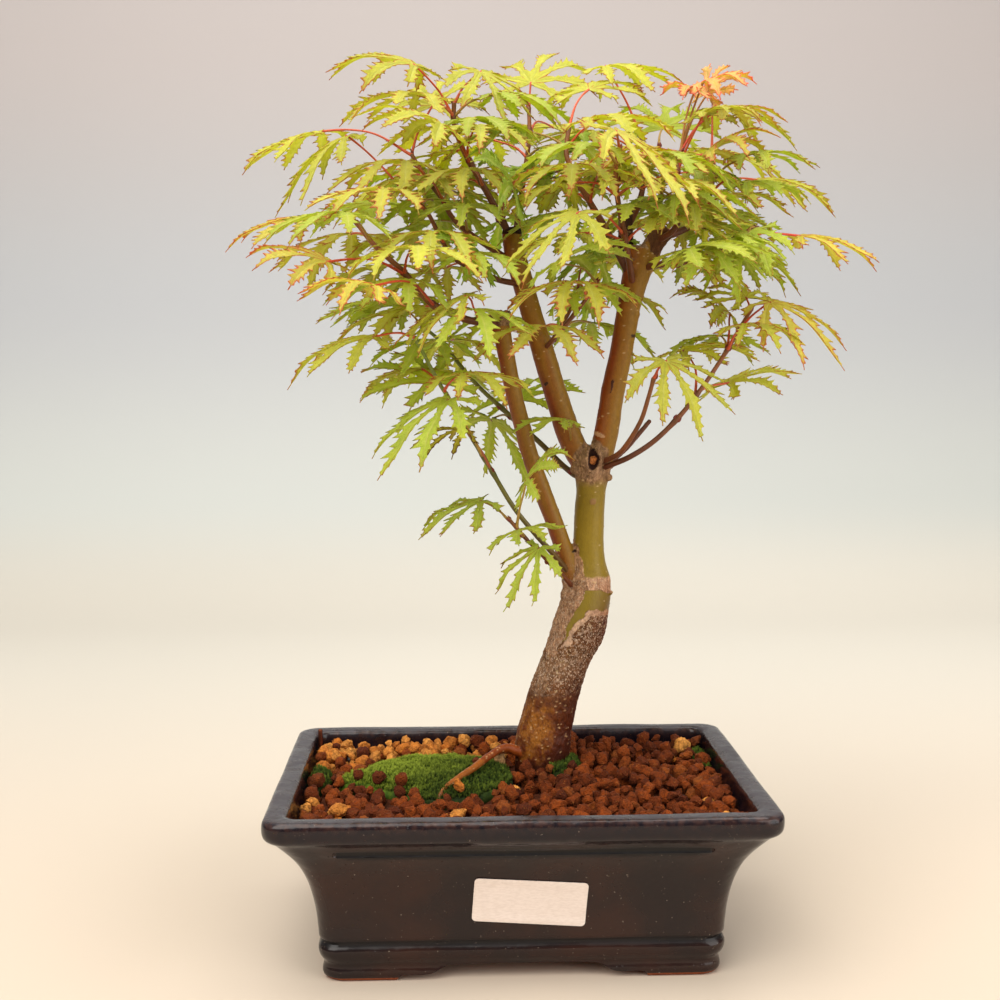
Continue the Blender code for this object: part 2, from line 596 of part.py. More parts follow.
def add_petiole(bm, mouth, start, name):
    """Draws the blade's base edge out into a stalk that ends just off its shoot."""
    shoot, place = LEAVES[name][:2]
    root, tangent, radius = shoot_point(shoot, place)
    way = (start - root).normalized()
    half = PETIOLE_WIDTH / 2
    if place >= 1.0:
        end = root + (tangent + way).normalized() * (GAP + PETIOLE_WIDTH)
    else:
        slant = max(0.35, math.sin(way.angle(tangent)))
        end = root + way * ((radius + GAP + half) / slant)
    middle = (start + end) / 2 + Vector((0, 0, PETIOLE_ARCH * (start - end).length))
    centres = [start, middle, end]
    previous = list(mouth)
    side_hint = (mouth[1].co - mouth[0].co).normalized()
    for i in (1, 2):
        tangent_here = (centres[i] - centres[i - 1]).normalized()
        side = (side_hint - tangent_here * side_hint.dot(tangent_here)).normalized()
        up = side.cross(tangent_here)
        corners = [(-half, half), (half, half), (half, -half), (-half, -half)]
        ring = [bm.verts.new(centres[i] + side * a + up * b) for a, b in corners]
        for k in range(4):
            m = (k + 1) % 4
            bm.faces.new((previous[k], previous[m], ring[m], ring[k]))
        previous = ring
    bm.faces.new(previous)


def main():
    clear_scene()
    finishes = make_finishes()
    plant = bpy.data.objects.new("plant", None)
    bpy.context.collection.objects.link(plant)
    plant.scale = (MM, MM, MM)
    plant.location = (POT_CENTRE[0] * MM, POT_CENTRE[1] * MM, 0)

    make_wood("trunk", plant, finishes["bark"])
    make_cutter(make_wood("bark_room", plant, grow=GAP))
    make_pot(plant, finishes["glaze"])
    make_soil(plant, finishes["akadama"])
    make_moss(plant, finishes["moss"])
    make_screens(plant, finishes["mesh_plastic"])
    make_wire(plant, finishes["wire"])
    make_sticker(plant, finishes["paper"])
    make_shoots(plant, finishes["young_bark"])
    for name in LEAVES:
        finish = "leaf_red" if name == "leaf_young_red" else "leaf_green"
        make_leaf(name, plant, finishes[finish])


main()
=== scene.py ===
"""Looks of the potted maple bonsai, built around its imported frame.

Shapes are worked out in plant millimetres: from the middle of the pot's footprint, +X to the
right of the front, +Y to the back and +Z up. add_piece turns them into the frame's metres.
"""

import math
from itertools import product

import bmesh
import bpy
import numpy as np
from mathutils import Matrix, Vector


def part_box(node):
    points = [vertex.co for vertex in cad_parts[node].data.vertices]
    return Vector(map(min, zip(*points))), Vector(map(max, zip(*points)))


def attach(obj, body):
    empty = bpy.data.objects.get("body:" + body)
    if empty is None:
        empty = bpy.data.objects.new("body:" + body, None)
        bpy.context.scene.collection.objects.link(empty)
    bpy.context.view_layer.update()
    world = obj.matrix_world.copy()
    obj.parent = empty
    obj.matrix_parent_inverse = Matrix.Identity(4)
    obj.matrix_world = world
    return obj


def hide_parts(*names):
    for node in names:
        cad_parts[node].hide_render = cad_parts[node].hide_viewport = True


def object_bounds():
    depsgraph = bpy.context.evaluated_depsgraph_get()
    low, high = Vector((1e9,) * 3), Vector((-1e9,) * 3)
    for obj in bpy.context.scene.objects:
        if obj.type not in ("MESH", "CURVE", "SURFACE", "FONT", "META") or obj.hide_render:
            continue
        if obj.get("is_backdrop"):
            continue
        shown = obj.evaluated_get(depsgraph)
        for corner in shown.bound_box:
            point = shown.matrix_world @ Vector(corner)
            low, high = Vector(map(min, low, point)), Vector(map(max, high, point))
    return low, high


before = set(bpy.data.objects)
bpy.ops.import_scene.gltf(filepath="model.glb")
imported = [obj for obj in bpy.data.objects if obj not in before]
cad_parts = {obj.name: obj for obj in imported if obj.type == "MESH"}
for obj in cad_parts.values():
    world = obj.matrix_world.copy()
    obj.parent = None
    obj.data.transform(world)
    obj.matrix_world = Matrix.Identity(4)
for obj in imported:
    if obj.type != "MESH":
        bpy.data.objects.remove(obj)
CAD_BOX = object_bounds()

MM = 0.001
POT_LOW, POT_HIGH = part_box("pot")
PLANT_SPOT = np.array(((POT_LOW.x + POT_HIGH.x) / 2, (POT_LOW.y + POT_HIGH.y) / 2, 0.0))

# ---------------------------------------------------------------- pot, as in the frame (mm)
POT_WIDTH = (POT_HIGH.x - POT_LOW.x) / MM
POT_DEPTH = (POT_HIGH.y - POT_LOW.y) / MM
POT_HEIGHT = (POT_HIGH.z - POT_LOW.z) / MM
OUTER_CORNER = 8.0
INNER_CORNER = 6.0
FLOOR_TOP = 12.0
RECESS_HEIGHT = 6.5
RECESS_INSET = 28.0
DRAIN_RADIUS = 6.0
DRAIN_X = 42.0
SCREEN_RADIUS = 9.8
SCREEN_LOW = 12.4
RIM_MIDDLE = 4.8                  # how far in from its outer face the rim has its middle
FOOT_LINE = 15.0                  # height of the line where the wall meets the foot, which is painted dark as shade
BARE_FOOT = 1.5                   # how far up the foot the clay has no glaze
RIM_BAND = (0.0555, 0.0600)       # heights in metres over which a painted dark blue reflection covers the rim's glaze

# wall profiles: (height, step in from the rim's outer face[, brown edge[, dust]])
OUTER_WALL = [
    (0.0, 21.8, 0.8), (0.9, 20.6, 0.9), (2.4, 20.0, 0.6), (4.2, 20.1, 0.1), (5.8, 20.6),
    (7.2, 20.3), (8.6, 19.4), (10.2, 18.8, 0.1), (11.8, 18.6, 0.3), (13.1, 18.7, 0.6),
    (13.9, 19.3), (14.8, 19.8), (15.8, 19.5), (16.8, 18.9, 0.2), (19.8, 18.7), (27.0, 18.0),
    (34.0, 16.7), (40.0, 15.0), (46.0, 12.5), (51.0, 9.4), (55.5, 5.9), (58.2, 3.6, 0.1),
    (59.4, 1.9, 0.2), (60.6, 0.8, 0.2, 0.1), (62.5, 0.2, 0.1), (65.2, 0.1, 0.3),
    (66.9, 0.4, 0.9, 0.2), (67.8, 1.3, 1.0, 0.5), (68.0, 2.6, 0.3, 0.9)]
INNER_WALL = [
    (68.0, 6.6, 0.1, 1.0), (67.7, 7.9, 0.6, 0.8), (66.9, 8.7, 1.0, 0.4), (65.0, 9.1, 0.3, 0.1),
    (60.0, 9.8), (50.0, 15.0), (40.0, 20.0), (30.0, 23.5), (20.0, 25.5), (12.0, 27.5)]
FRONT_CLOUD = [(48.0, 0.0), (47.2, 1.8), (44.5, 2.7), (38.0, 2.6), (34.0, 3.2), (31.0, 5.0),
               (27.5, 6.1), (19.0, 6.5)]
SIDE_CLOUD = [(30.0, 0.0), (29.4, 1.8), (27.0, 2.7), (23.0, 2.6), (20.0, 3.2), (17.5, 5.0),
              (15.0, 6.0), (9.0, 6.4)]

GROOVE_HEIGHT = 53.6              # a shallow groove along the front and the back, under the rim
GROOVE_REACH = 69.0
GROOVE_RADIUS = 1.8
GROOVE_DEPTH = 1.2

STICKER_SIZE = (43.0, 18.0)
STICKER_CENTRE = (2.5, 31.7)
STICKER_TILT = 4.0                # degrees
STICKER_CORNER = 1.6
STICKER_GAP = 0.2                 # between the paper and the wall
STICKER_THICKNESS = 0.3

SOIL_LEVEL = 58.5
MOUND = 3.5                       # how far the soil rises to the trunk
TRUNK_FOOT = (12.0, 26.0)

TIE_WIRE = [(-85.8, 54, 71, 1.0), (-85.2, 53.3, 62, 1.0), (-80.5, 50, 55, 1.0),
            (-73, 44, 47, 1.0), (-64, 32, 36, 1.0), (-54, 18, 25, 1.0), (-46, 6, 15.5, 1.0)]

# ---------------------------------------------------------------- the woody frame
# each route: (x, y, z, radius), from its foot to its end
TRUNK = [(12.0, 26, 42, 8.0), (12.0, 26, 54, 11.0), (12.0, 26, 62, 11.4), (12.8, 26, 72, 12.0),
         (14.2, 26, 80, 11.2), (16.8, 26, 90, 10.9), (19.9, 26, 100, 10.3), (23.4, 26, 110, 10.2),
         (27.7, 26, 120, 11.3), (30.5, 26, 130, 10.7), (32.6, 26, 140, 9.4),
         (32.4, 26, 150, 7.4), (32.3, 26, 162, 6.5), (33.2, 26, 180, 6.4), (34.0, 26, 190, 7.6),
         (34.5, 26, 197, 7.0)]
LIMB_LEFT = [(29.5, 26, 128, 6.0), (25.2, 25.5, 143, 4.6), (20.2, 24.5, 160, 3.9),
             (12.8, 23.5, 180, 3.7), (6, 22.5, 200, 3.6), (-0.3, 20.5, 225, 3.5),
             (-5, 18.5, 249, 3.8), (-7.5, 18, 255, 3.4)]
LIMB_MIDDLE = [(34, 27, 188, 5.6), (26, 27, 200, 5.4), (19, 28, 220, 4.9), (13, 29, 240, 4.7),
               (10, 29.5, 250, 4.6), (1.7, 31, 280, 4.4), (0, 31.5, 291, 4.2)]
LIMB_RIGHT = [(35, 26, 189, 5.8), (38.6, 25.5, 200, 5.3), (42, 25, 220, 5.0), (46, 24.5, 240, 4.8),
              (49.3, 24, 260, 5.0), (53, 24, 275, 6.2), (54.5, 24, 282, 5.6)]
STUB_DARK = [(53, 27, 270, 3.4), (48.5, 29, 284, 3.2), (48.5, 31, 300, 3.0)]
STUB_ROUND = [(53, 24, 275, 4.2), (59, 23, 284, 4.2), (64, 22, 290, 4.0)]
CUT_TWIG = [(37, 28, 190, 1.4), (44, 31, 194, 1.3), (50, 33, 199, 1.2), (60, 36, 210, 1.1)]
EXPOSED_ROOT = [(8, 22, 66, 2.8), (1, 20, 69.6, 2.2), (-5, 17, 71.5, 1.8), (-12, 9, 69.6, 1.6),
                (-18, 1, 67.4, 1.5), (-24, -6, 65.6, 1.4), (-30, -13, 62.6, 1.3),
                (-33, -17, 58, 1.1)]
ROOT_STUB = [(-7, 20, 54, 3.0), (-7, 20, 60, 2.9), (-6, 18.5, 70, 2.0)]

# name: (radius at its foot, radius at its tip, route from inside its limb)
SHOOTS = {
    "left_main": (1.8, 0.9, [
        (-4, 19, 248), (-10, 14, 251.5), (-18, 10, 252), (-29, 4, 256), (-35, 1, 259.5),
        (-45, -3, 271), (-56, -6, 281), (-63, -6, 290)]),
    "left_low": (1.3, 0.7, [
        (27, 27, 141), (21.5, 21, 148.5), (15, 15, 156.5), (8, 11.5, 164.5), (-1, 10, 176),
        (-11, 9, 193), (-20, 8, 208), (-31, 6, 227), (-40.5, 4, 245)]),
    "left_basal": (1.1, 0.6, [
        (27.5, 26, 137), (20, 14.5, 146), (12.8, 7, 153.8), (5, 4, 162), (-2, 4, 170)]),
    "left_back": (1.4, 0.7, [
        (32, 28, 184), (23, 37, 190), (13, 42, 200), (1, 46, 211), (-15, 48, 226), (-30, 50, 244),
        (-38, 52, 251)]),
    "top_left_a": (1.4, 0.7, [
        (3, 31, 276), (-13, 31, 286), (-24, 32, 295), (-30, 34, 305), (-35, 36, 312),
        (-42, 38, 323)]),
    "top_left_b": (1.4, 0.7, [
        (5, 30, 268), (-5, 21, 269), (-13, 17, 272), (-25, 14, 278), (-31, 12, 288),
        (-36, 12, 297), (-44, 14, 304)]),
    "top_middle": (1.6, 0.8, [
        (0, 31, 287), (-8, 30, 302), (-16, 29, 316), (-21, 28, 325), (-24, 27, 334),
        (-24, 26, 342)]),
    "crown_back": (1.5, 0.8, [
        (1, 32, 284), (3, 45, 295), (6, 54, 313), (9, 58, 333), (9, 60, 347)]),
    "inner_back": (1.1, 0.7, [
        (13, 29, 238), (18, 38, 245), (26, 43, 258), (29, 45, 266)]),
    "inner_front": (1.1, 0.7, [
        (13, 28, 240), (18, 19, 246), (27, 14, 257), (34, 10, 267)]),
    "crown_left": (1.8, 0.9, [
        (51, 24, 268), (43, 20, 282), (37, 17, 292), (32, 16, 300), (27, 15, 309), (22, 15, 319),
        (23, 18, 331)]),
    "crown_front": (1.5, 0.8, [
        (51, 24, 265), (47, 10, 277), (43, -2, 289), (40, -9, 300), (39, -12, 310),
        (40, -14, 317)]),
    "right_main": (1.6, 0.8, [
        (53, 24, 274), (61, 14, 275), (68, 11, 275.5), (77, 8, 277), (85, 6, 281), (97, 4, 289)]),
    "right_middle": (1.7, 0.8, [
        (61, 22, 287), (69, 26, 289), (78, 28, 294), (82, 29, 301), (85, 30, 311), (85, 32, 323)]),
    "right_upper": (1.4, 0.8, [
        (60, 22, 285), (66, 14, 289), (69, 13, 297), (67, 13, 309), (69, 16, 321)]),
    "right_inner": (1.5, 0.8, [
        (53, 25, 277), (58, 37, 284), (63, 40, 300), (66, 42, 316), (64, 43, 327)]),
    "crown_right": (1.6, 0.8, [
        (49, 30, 292), (55, 39, 303), (58, 45, 316), (57, 50, 333)]),
    "right_back": (1.5, 0.8, [
        (51, 24, 258), (55, 40, 264), (61, 55, 273), (68, 70, 284), (72, 82, 294)]),
    "low_right": (1.3, 0.8, [
        (35, 26, 189), (42, 17, 192.5), (49, 13, 196), (58, 12, 202), (67, 12, 210.5),
        (74, 13, 218.5), (82, 15, 229), (91, 17, 242.5), (99, 18, 256)]),
    "low_right_inner": (1.2, 0.8, [
        (35, 25, 192), (42, 12, 196), (46, 6, 201), (51, 0, 211), (53.5, -5, 221),
        (55, -8, 228)]),
}

# ---------------------------------------------------------------- leaves
# name: (shoot, place along it, junction x, y, z, heading, lean, roll, size, droop,
#        colouring)
# heading: way the middle lobe points, seen from the front, 0 = right, 90 = up
# lean: how far the middle lobe comes forward; roll: turn of the blade about the middle lobe
LEAVES = {
    "top_left": ("top_middle", 0.85, -40, 14, 355, 150, -15, 35, 42, 0.45, "lime"),
    "top_back": ("crown_back", 1.0, 10, 62, 358, 70, -35, -15, 40, 0.30, "lime"),
    "top_right": ("crown_right", 1.0, 42, 56, 364, 5, 25, -45, 36, 0.35, "lime"),
    "young_red": ("right_upper", 1.0, 79, 20, 350, 20, 50, 0, 25, 0.25, "red"),
    "young_red_twin": ("right_upper", 1.0, 75, 17, 346, 160, 60, 0, 20, 0.3, "red"),
    "young_red_back": ("right_upper", 1.0, 82, 26, 347, 70, 5, 0, 20, 0.3, "red"),
    "young_orange": ("right_upper", 1.0, 84, 14, 338, 10, 25, -50, 30, 0.35, "gold"),
    "crown_right": ("right_middle", 1.0, 88, 50, 345, 5, -5, -55, 40, 0.35, "lime"),
    "crown_front": ("crown_front", 1.0, 36, -38, 320, 325, 30, -60, 40, 0.25, "veined"),
    "right_high_back": ("right_middle", 0.9, 96, 75, 331, 5, -35, -15, 38, 0.25, "lime"),
    "right_high": ("right_middle", 0.7, 109, 54, 315, 10, -15, -45, 38, 0.35, "lime"),
    "right_far": ("right_main", 0.85, 117, 8, 286, 5, -10, -50, 36, 0.35, "gold"),
    "right_front": ("right_main", 0.35, 66, -22, 278, 20, 25, -70, 40, 0.50, "green"),
    "low_right_far": ("low_right", 0.93, 105, 8, 259, 340, 35, -30, 36, 0.40, "gold"),
    "low_right_front": ("low_right_inner", 1.0, 59, -14, 235, 305, 50, -30, 34, 0.30, "lime"),
    "low_right_back": ("low_right", 0.65, 75, 42, 240, 20, -15, -65, 37, 0.30, "lime"),
    "left_high": ("top_middle", 0.45, -29, -10, 327, 150, 20, 50, 41, 0.50, "lime"),
    "left_high_back": ("top_left_a", 1.0, -82, 52, 335, 185, -20, 50, 38, 0.25, "lime"),
    "left_upper": ("top_left_b", 1.0, -68, 22, 328, 200, 10, 50, 35, 0.55, "lime"),
    "left_far": ("left_main", 1.0, -83, -2, 292, 180, 15, 40, 33, 0.35, "gold"),
    "left_middle": ("left_main", 0.7, -72, -36, 272, 150, 0, 40, 36, 0.40, "gold"),
    "left_front": ("left_main", 0.5, -54, -51, 262, 160, 30, 75, 33, 0.40, "gold"),
    "left_back": ("left_back", 1.0, -49, 46, 260, 165, -20, 60, 40, 0.35, "green"),
    "front_low": ("left_main", 0.2, -20, -22, 260, 200, 10, 60, 32, 0.30, "lime"),
    "front_middle": ("top_middle", 0.1, -1, -12, 302, 115, 10, 40, 42, 0.50, "deep"),
    "front_star": ("crown_front", 0.35, 22, -36, 290, 215, 30, 30, 33, 0.28, "lime"),
    "low_left_far": ("left_low", 1.0, -57, 0, 245, 180, 0, 45, 36, 0.35, "lime"),
    "low_left_front": ("left_low", 0.65, -27, -16, 220, 205, 30, 60, 36, 0.35, "green"),
    "base_upper": ("left_basal", 0.9, 4, -4, 187, 60, 14, -50, 36, 0.45, "green"),
    "base_left": ("left_basal", 1.0, -14, 8, 178, 190, 15, 60, 29, 0.25, "green"),
    "base_low": ("left_basal", 0.45, 9, -7, 160, 225, 30, 45, 24, 0.30, "green"),
    "back_left": ("crown_back", 0.55, -18, 84, 322, 150, -50, 15, 40, 0.35, "green"),
    "back_right": ("right_back", 1.0, 88, 92, 306, 30, -50, -10, 40, 0.35, "lime"),
    "back_low": ("right_back", 0.6, 44, 88, 284, 250, -45, 10, 38, 0.30, "deep"),
    "top_middle": ("top_middle", 1.0, -13, 30, 356, 305, 50, -55, 31, 0.25, "lime"),
    "crown_left": ("crown_left", 1.0, 33, 36, 350, 60, -50, -30, 37, 0.45, "lime"),
    "right_inner": ("right_inner", 1.0, 68, 58, 338, 75, -40, 15, 39, 0.30, "green"),
    "right_upper": ("right_upper", 0.8, 59, 4, 319, 165, 35, 75, 34, 0.35, "gold"),
    "right_orange": ("right_upper", 0.9, 79, 10, 319, 45, 20, -85, 39, 0.55, "gold"),
    "right_near": ("right_main", 1.0, 93, -6, 286, 230, 50, 90, 32, 0.40, "green"),
    "low_right_tip": ("low_right", 1.0, 99, 26, 262, 135, -45, 0, 27, 0.25, "lime"),
    "low_right_pale": ("low_right", 0.85, 95, 40, 256, 130, -10, 80, 38, 0.45, "lime"),
    "low_right_under": ("low_right", 0.5, 98, 56, 226, 30, -20, -85, 38, 0.30, "lime"),
    "left_crown": ("top_left_a", 1.0, -33, 40, 344, 75, -30, -20, 34, 0.40, "lime"),
    "left_inner": ("top_left_b", 1.0, -55, 34, 302, 165, -35, 40, 39, 0.30, "green"),
    "front_inner": ("top_left_b", 0.35, -12, 0, 275, 130, 5, 45, 38, 0.40, "deep"),
    "middle_front": ("inner_front", 1.0, 15, -14, 273, 35, 20, -70, 41, 0.35, "green"),
    "middle_back": ("inner_back", 1.0, 32, 46, 280, 45, 35, -75, 38, 0.50, "deep"),
    "middle_low": ("inner_front", 0.6, 22, 8, 262, 30, 15, -80, 39, 0.55, "green"),
    "middle_far": ("inner_back", 0.3, 8, 58, 254, 160, -45, 95, 40, 0.25, "green"),
    "low_left_back": ("left_low", 0.8, -32, 20, 227, 125, -40, 15, 44, 0.35, "green"),
    "low_left_dried": ("left_low", 0.6, -20, 4, 207, 165, 5, 55, 25, 0.55, "dry"),
    "low_left_inner": ("left_back", 0.5, -8, 60, 210, 315, -45, -65, 42, 0.35, "green"),
    "middle_behind": ("left_back", 0.55, 5, 66, 219, 65, -55, -70, 41, 0.25, "green"),
    "middle_star": ("left_back", 0.1, 22, 12, 211, 170, 10, 75, 25, 0.20, "green"),
    "base_small": ("left_basal", 0.8, 1, -4, 167, 35, 60, -80, 24, 0.2, "green"),
    "crown_gap": ("crown_right", 0.6, 28, 30, 330, 200, -20, 60, 36, 0.35, "deep"),
    "crown_inner": ("crown_left", 0.6, 20, 52, 318, 150, -45, 50, 38, 0.35, "deep"),
    "crown_fill": ("right_inner", 0.5, 84, 40, 292, 15, 10, -60, 36, 0.40, "green"),
    "crown_fill_front": ("crown_front", 0.7, 62, -8, 300, 15, 25, -65, 36, 0.40, "green"),
    "back_crown": ("crown_back", 0.8, 22, 92, 344, 40, -60, -5, 38, 0.35, "lime"),
    "back_middle": ("right_back", 0.85, 58, 98, 300, 110, -60, 10, 36, 0.35, "green"),
    "back_inner": ("crown_back", 0.35, -2, 80, 300, 200, -50, 35, 38, 0.35, "deep"),
    "back_shoulder": ("right_inner", 0.8, 48, 76, 322, 120, -50, 20, 36, 0.35, "lime"),
    "back_left_low": ("left_back", 0.8, -30, 76, 246, 200, -55, 30, 36, 0.35, "green"),
    "back_left_high": ("top_left_a", 0.7, -48, 66, 318, 190, -45, 25, 36, 0.35, "lime"),
}

# where more pairs of leaves fill the crown, as places along each shoot
CROWN_PAIRS = {
    "left_main": (0.35, 0.55, 0.7, 0.88), "top_left_a": (0.3, 0.55, 0.8),
    "top_left_b": (0.4, 0.6, 0.85), "top_middle": (0.3, 0.5, 0.7, 0.88),
    "crown_left": (0.3, 0.5, 0.7, 0.88), "crown_front": (0.3, 0.6, 0.85),
    "inner_front": (0.4, 0.8), "right_main": (0.3, 0.5, 0.75), "right_middle": (0.3, 0.55, 0.8),
    "right_upper": (0.3, 0.6, 0.85), "right_inner": (0.4, 0.7), "crown_right": (0.5, 0.8),
    "crown_back": (0.4, 0.65), "low_right": (0.85,), "left_low": (0.85,), "left_back": (0.8,),
    "right_back": (0.6,)}

# lobes: (angle off the middle lobe in degrees, length as a share of the leaf size)
LOBES = [(-112, 0.42), (-70, 0.76), (-34, 0.93), (0, 1.0), (34, 0.93), (70, 0.76), (112, 0.42)]
# where neighbouring lobes part: (angle, distance out as a share of the leaf size)
SINUSES = [(-150, 0.05), (-91, 0.15), (-52, 0.19), (-17, 0.20), (17, 0.20), (52, 0.19), (91, 0.15),
           (150, 0.05)]
# half width along a lobe, as a share of its widest
LOBE_OUTLINE = ((0.0, 0.08, 0.25, 0.45, 0.65, 0.80, 0.92, 1.0),
                (0.40, 0.42, 0.78, 1.0, 0.80, 0.50, 0.24, 0.03))
LOBE_WIDTH = 0.122                # half width at the widest, as a share of the leaf size
TOOTH_PITCH = 3.5                 # from tooth to tooth along a lobe
TOOTH_DEPTH = 0.50                # as a share of the lobe's half width
VEIN_SLANT = 1.15                 # how far a row runs forward on its way to the margin
LEVELLING = 0.75                  # how far a blade turns its upper side to the light
FOLD = 0.26                       # how steeply a lobe's halves rise from its midrib
DROOPING = 0.7                    # how far a leaf with a droop of 1 hangs down at its tips
BACK_CURL = 0.08                  # how far a flat blade's tips bend back
VEIN_DEPTH = 0.22                 # how deep the midrib lies
PUCKER = 0.40                     # how far the blade rises between its side veins, times 4
EDGE_SHARPNESS = 5                # how closely the margin's colour keeps to the edge
LEAF_THICKNESS = 0.28
ACROSS = np.array((0.0, 0.10, 0.40, 0.72, 1.0))


def colour(red, green, blue):
    """Linear colour of an sRGB one."""
    parts = np.array((red, green, blue)) / 255.0
    return np.where(parts <= 0.04045, parts / 12.92, ((parts + 0.055) / 1.055) ** 2.4)


# colouring: (blade, margin, stalk, how far the margin's colour reaches in, lobe width)
COLOURINGS = {
    "lime": ((228, 226, 104), (206, 122, 72), (208, 86, 48), 0.50, 1.05),
    "gold": ((234, 220, 106), (220, 124, 86), (214, 78, 52), 0.70, 1.0),
    "green": ((208, 220, 96), (196, 132, 72), (168, 132, 56), 0.38, 1.1),
    "deep": ((180, 204, 80), (180, 128, 68), (184, 98, 48), 0.30, 1.15),
    "veined": ((228, 222, 110), (210, 122, 82), (200, 100, 58), 0.58, 1.1),
    "red": ((255, 216, 160), (252, 138, 120), (176, 120, 56), 0.85, 1.4),
    "dry": ((206, 188, 66), (116, 58, 48), (180, 92, 58), 0.80, 0.8),
}
GREEN_SHOOTS = ("left_low", "left_back")     # the others are brown


# ---------------------------------------------------------------- noise and curves
LATTICES = {}                     # random values by seed, made as they are asked for


def noise(points, size, seed):
    """Smooth noise from -1 to 1, with features about size millimetres wide."""
    if seed not in LATTICES:
        LATTICES[seed] = np.random.default_rng(seed).uniform(-1, 1, (32, 32, 32))
    spots = points / size
    cell = np.floor(spots).astype(int)
    t = spots - cell
    t = t * t * (3 - 2 * t)
    total = np.zeros(len(points))
    for corner in product((0, 1), repeat=3):
        i, j, k = ((cell + corner) % 32).T
        weight = np.prod(np.where(corner, t, 1 - t), axis=1)
        total += weight * LATTICES[seed][i, j, k]
    return total


def rough_noise(points, size, seed, octaves=3):
    """Noise with finer noise on top of it."""
    return sum(noise(points, size / 2 ** n, seed + n) / 2 ** n for n in range(octaves))


def unit(vector):
    return vector / np.linalg.norm(vector)


def smooth_curve(points, spacing, closed=False):
    """A Catmull-Rom curve through given points, sampled evenly; any values ride along."""
    points = np.array(points, float)
    if closed:
        padded = np.vstack([points[-1], points, points[:2]])
    else:
        padded = np.vstack([2 * points[0] - points[1], points, 2 * points[-1] - points[-2]])
    t = np.linspace(0, 1, 13)[:-1, None]
    runs = [0.5 * (2 * b + (c - a) * t + (2 * a - 5 * b + 4 * c - d) * t ** 2
                   + (3 * b - a - 3 * c + d) * t ** 3)
            for a, b, c, d in zip(padded, padded[1:], padded[2:], padded[3:])]
    runs.append(points[:1] if closed else points[-1:])
    dense = np.vstack(runs)
    steps = np.linalg.norm(np.diff(dense[:, :3], axis=0), axis=1)
    length = np.concatenate([[0], np.cumsum(steps)])
    even = np.linspace(0, length[-1], max(3, round(length[-1] / spacing) + 1))
    return np.column_stack([np.interp(even, length, values) for values in dense.T])


def flat_curve(outline, spacing):
    """A closed curve through (x, y) points, as (x, y, 0) points."""
    return smooth_curve([(*point, 0) for point in outline], spacing, closed=True)


def frames_along(centres):
    """Tangent, side and up at each centre, carried along without twist."""
    tangents = np.gradient(centres, axis=0)
    tangents /= np.linalg.norm(tangents, axis=1)[:, None]
    side = np.cross(tangents[0], (0.3, 1, 0.2))
    sides = []
    for tangent in tangents:
        side = unit(side - tangent * side.dot(tangent))
        sides.append(side)
    return tangents, np.array(sides), np.cross(tangents, sides)


# ---------------------------------------------------------------- solids
class Solid:
    """Points in plant millimetres, faces, and values that ride along with the points."""

    def __init__(self, points, faces, marks=None, slots=None):
        self.points = np.asarray(points, float)
        self.faces = faces
        self.marks = marks or {}
        self.slots = slots or [0] * len(faces)


def joined(solids):
    """Several solids as one, with their own marks and finishes kept."""
    faces, slots, start = [], [], 0
    for solid in solids:
        faces += [tuple(i + start for i in face) for face in solid.faces]
        slots += solid.slots
        start += len(solid.points)
    marks = {name: np.vstack([solid.marks[name] for solid in solids]) for name in solids[0].marks}
    return Solid(np.vstack([solid.points for solid in solids]), faces, marks, slots)


def ring_faces(rows, columns):
    """Faces of a closed tube of rows rings of columns points, with its ends filled."""
    faces = []
    for low in range(0, (rows - 1) * columns, columns):
        high = low + columns
        for i in range(columns):
            j = (i + 1) % columns
            faces.append((low + i, low + j, high + j, high + i))
    faces.append(tuple(range(columns))[::-1])
    faces.append(tuple((rows - 1) * columns + i for i in range(columns)))
    return faces


def ringed(rings, marks=None):
    """A solid with its skin through rings of as many points each."""
    return Solid(np.vstack(rings), ring_faces(len(rings), len(rings[0])), marks)


def tube(route, sides, spacing, dome=0.4):
    """A closed tube along (x, y, z, radius) points, with a low dome on each end."""
    path = smooth_curve(route, spacing)
    centres, radii = path[:, :3], path[:, 3]
    tangents, across, up = frames_along(centres)
    angles = np.linspace(0, 2 * math.pi, sides, endpoint=False)
    rings = (centres[:, None] + radii[:, None, None]
             * (np.cos(angles)[None, :, None] * across[:, None]
                + np.sin(angles)[None, :, None] * up[:, None]))
    caps = []
    for end, way in ((0, -1), (-1, 1)):
        caps.append([centres[end] + (rings[end] - centres[end]) * share
                     + tangents[end] * way * radii[end] * dome * lift
                     for share, lift in ((0.85, 0.6), (0.45, 0.95))])
    return ringed([*caps[0][::-1], *rings, *caps[1]])


def ball(centre, radius):
    bm = bmesh.new()
    bmesh.ops.create_icosphere(bm, subdivisions=3, radius=1.0)
    points = np.array([vert.co for vert in bm.verts])
    faces = [tuple(vert.index for vert in face.verts) for face in bm.faces]
    bm.free()
    return Solid(np.array(centre) + points * radius, faces)


def make_mesh(name, solid, scale=1.0, shift=(0.0, 0.0, 0.0)):
    mesh = bpy.data.meshes.new(name)
    mesh.from_pydata((solid.points * scale + shift).tolist(), [], solid.faces)
    for mark, values in solid.marks.items():
        values = np.asarray(values, np.float32)
        rows = np.ones((len(solid.points), 4), np.float32)
        rows[:, :values.shape[1]] = values
        layer = mesh.attributes.new(mark, "FLOAT_COLOR", "POINT")
        layer.data.foreach_set("color", rows.ravel())
    mesh.polygons.foreach_set("material_index", solid.slots)
    mesh.update()
    return mesh


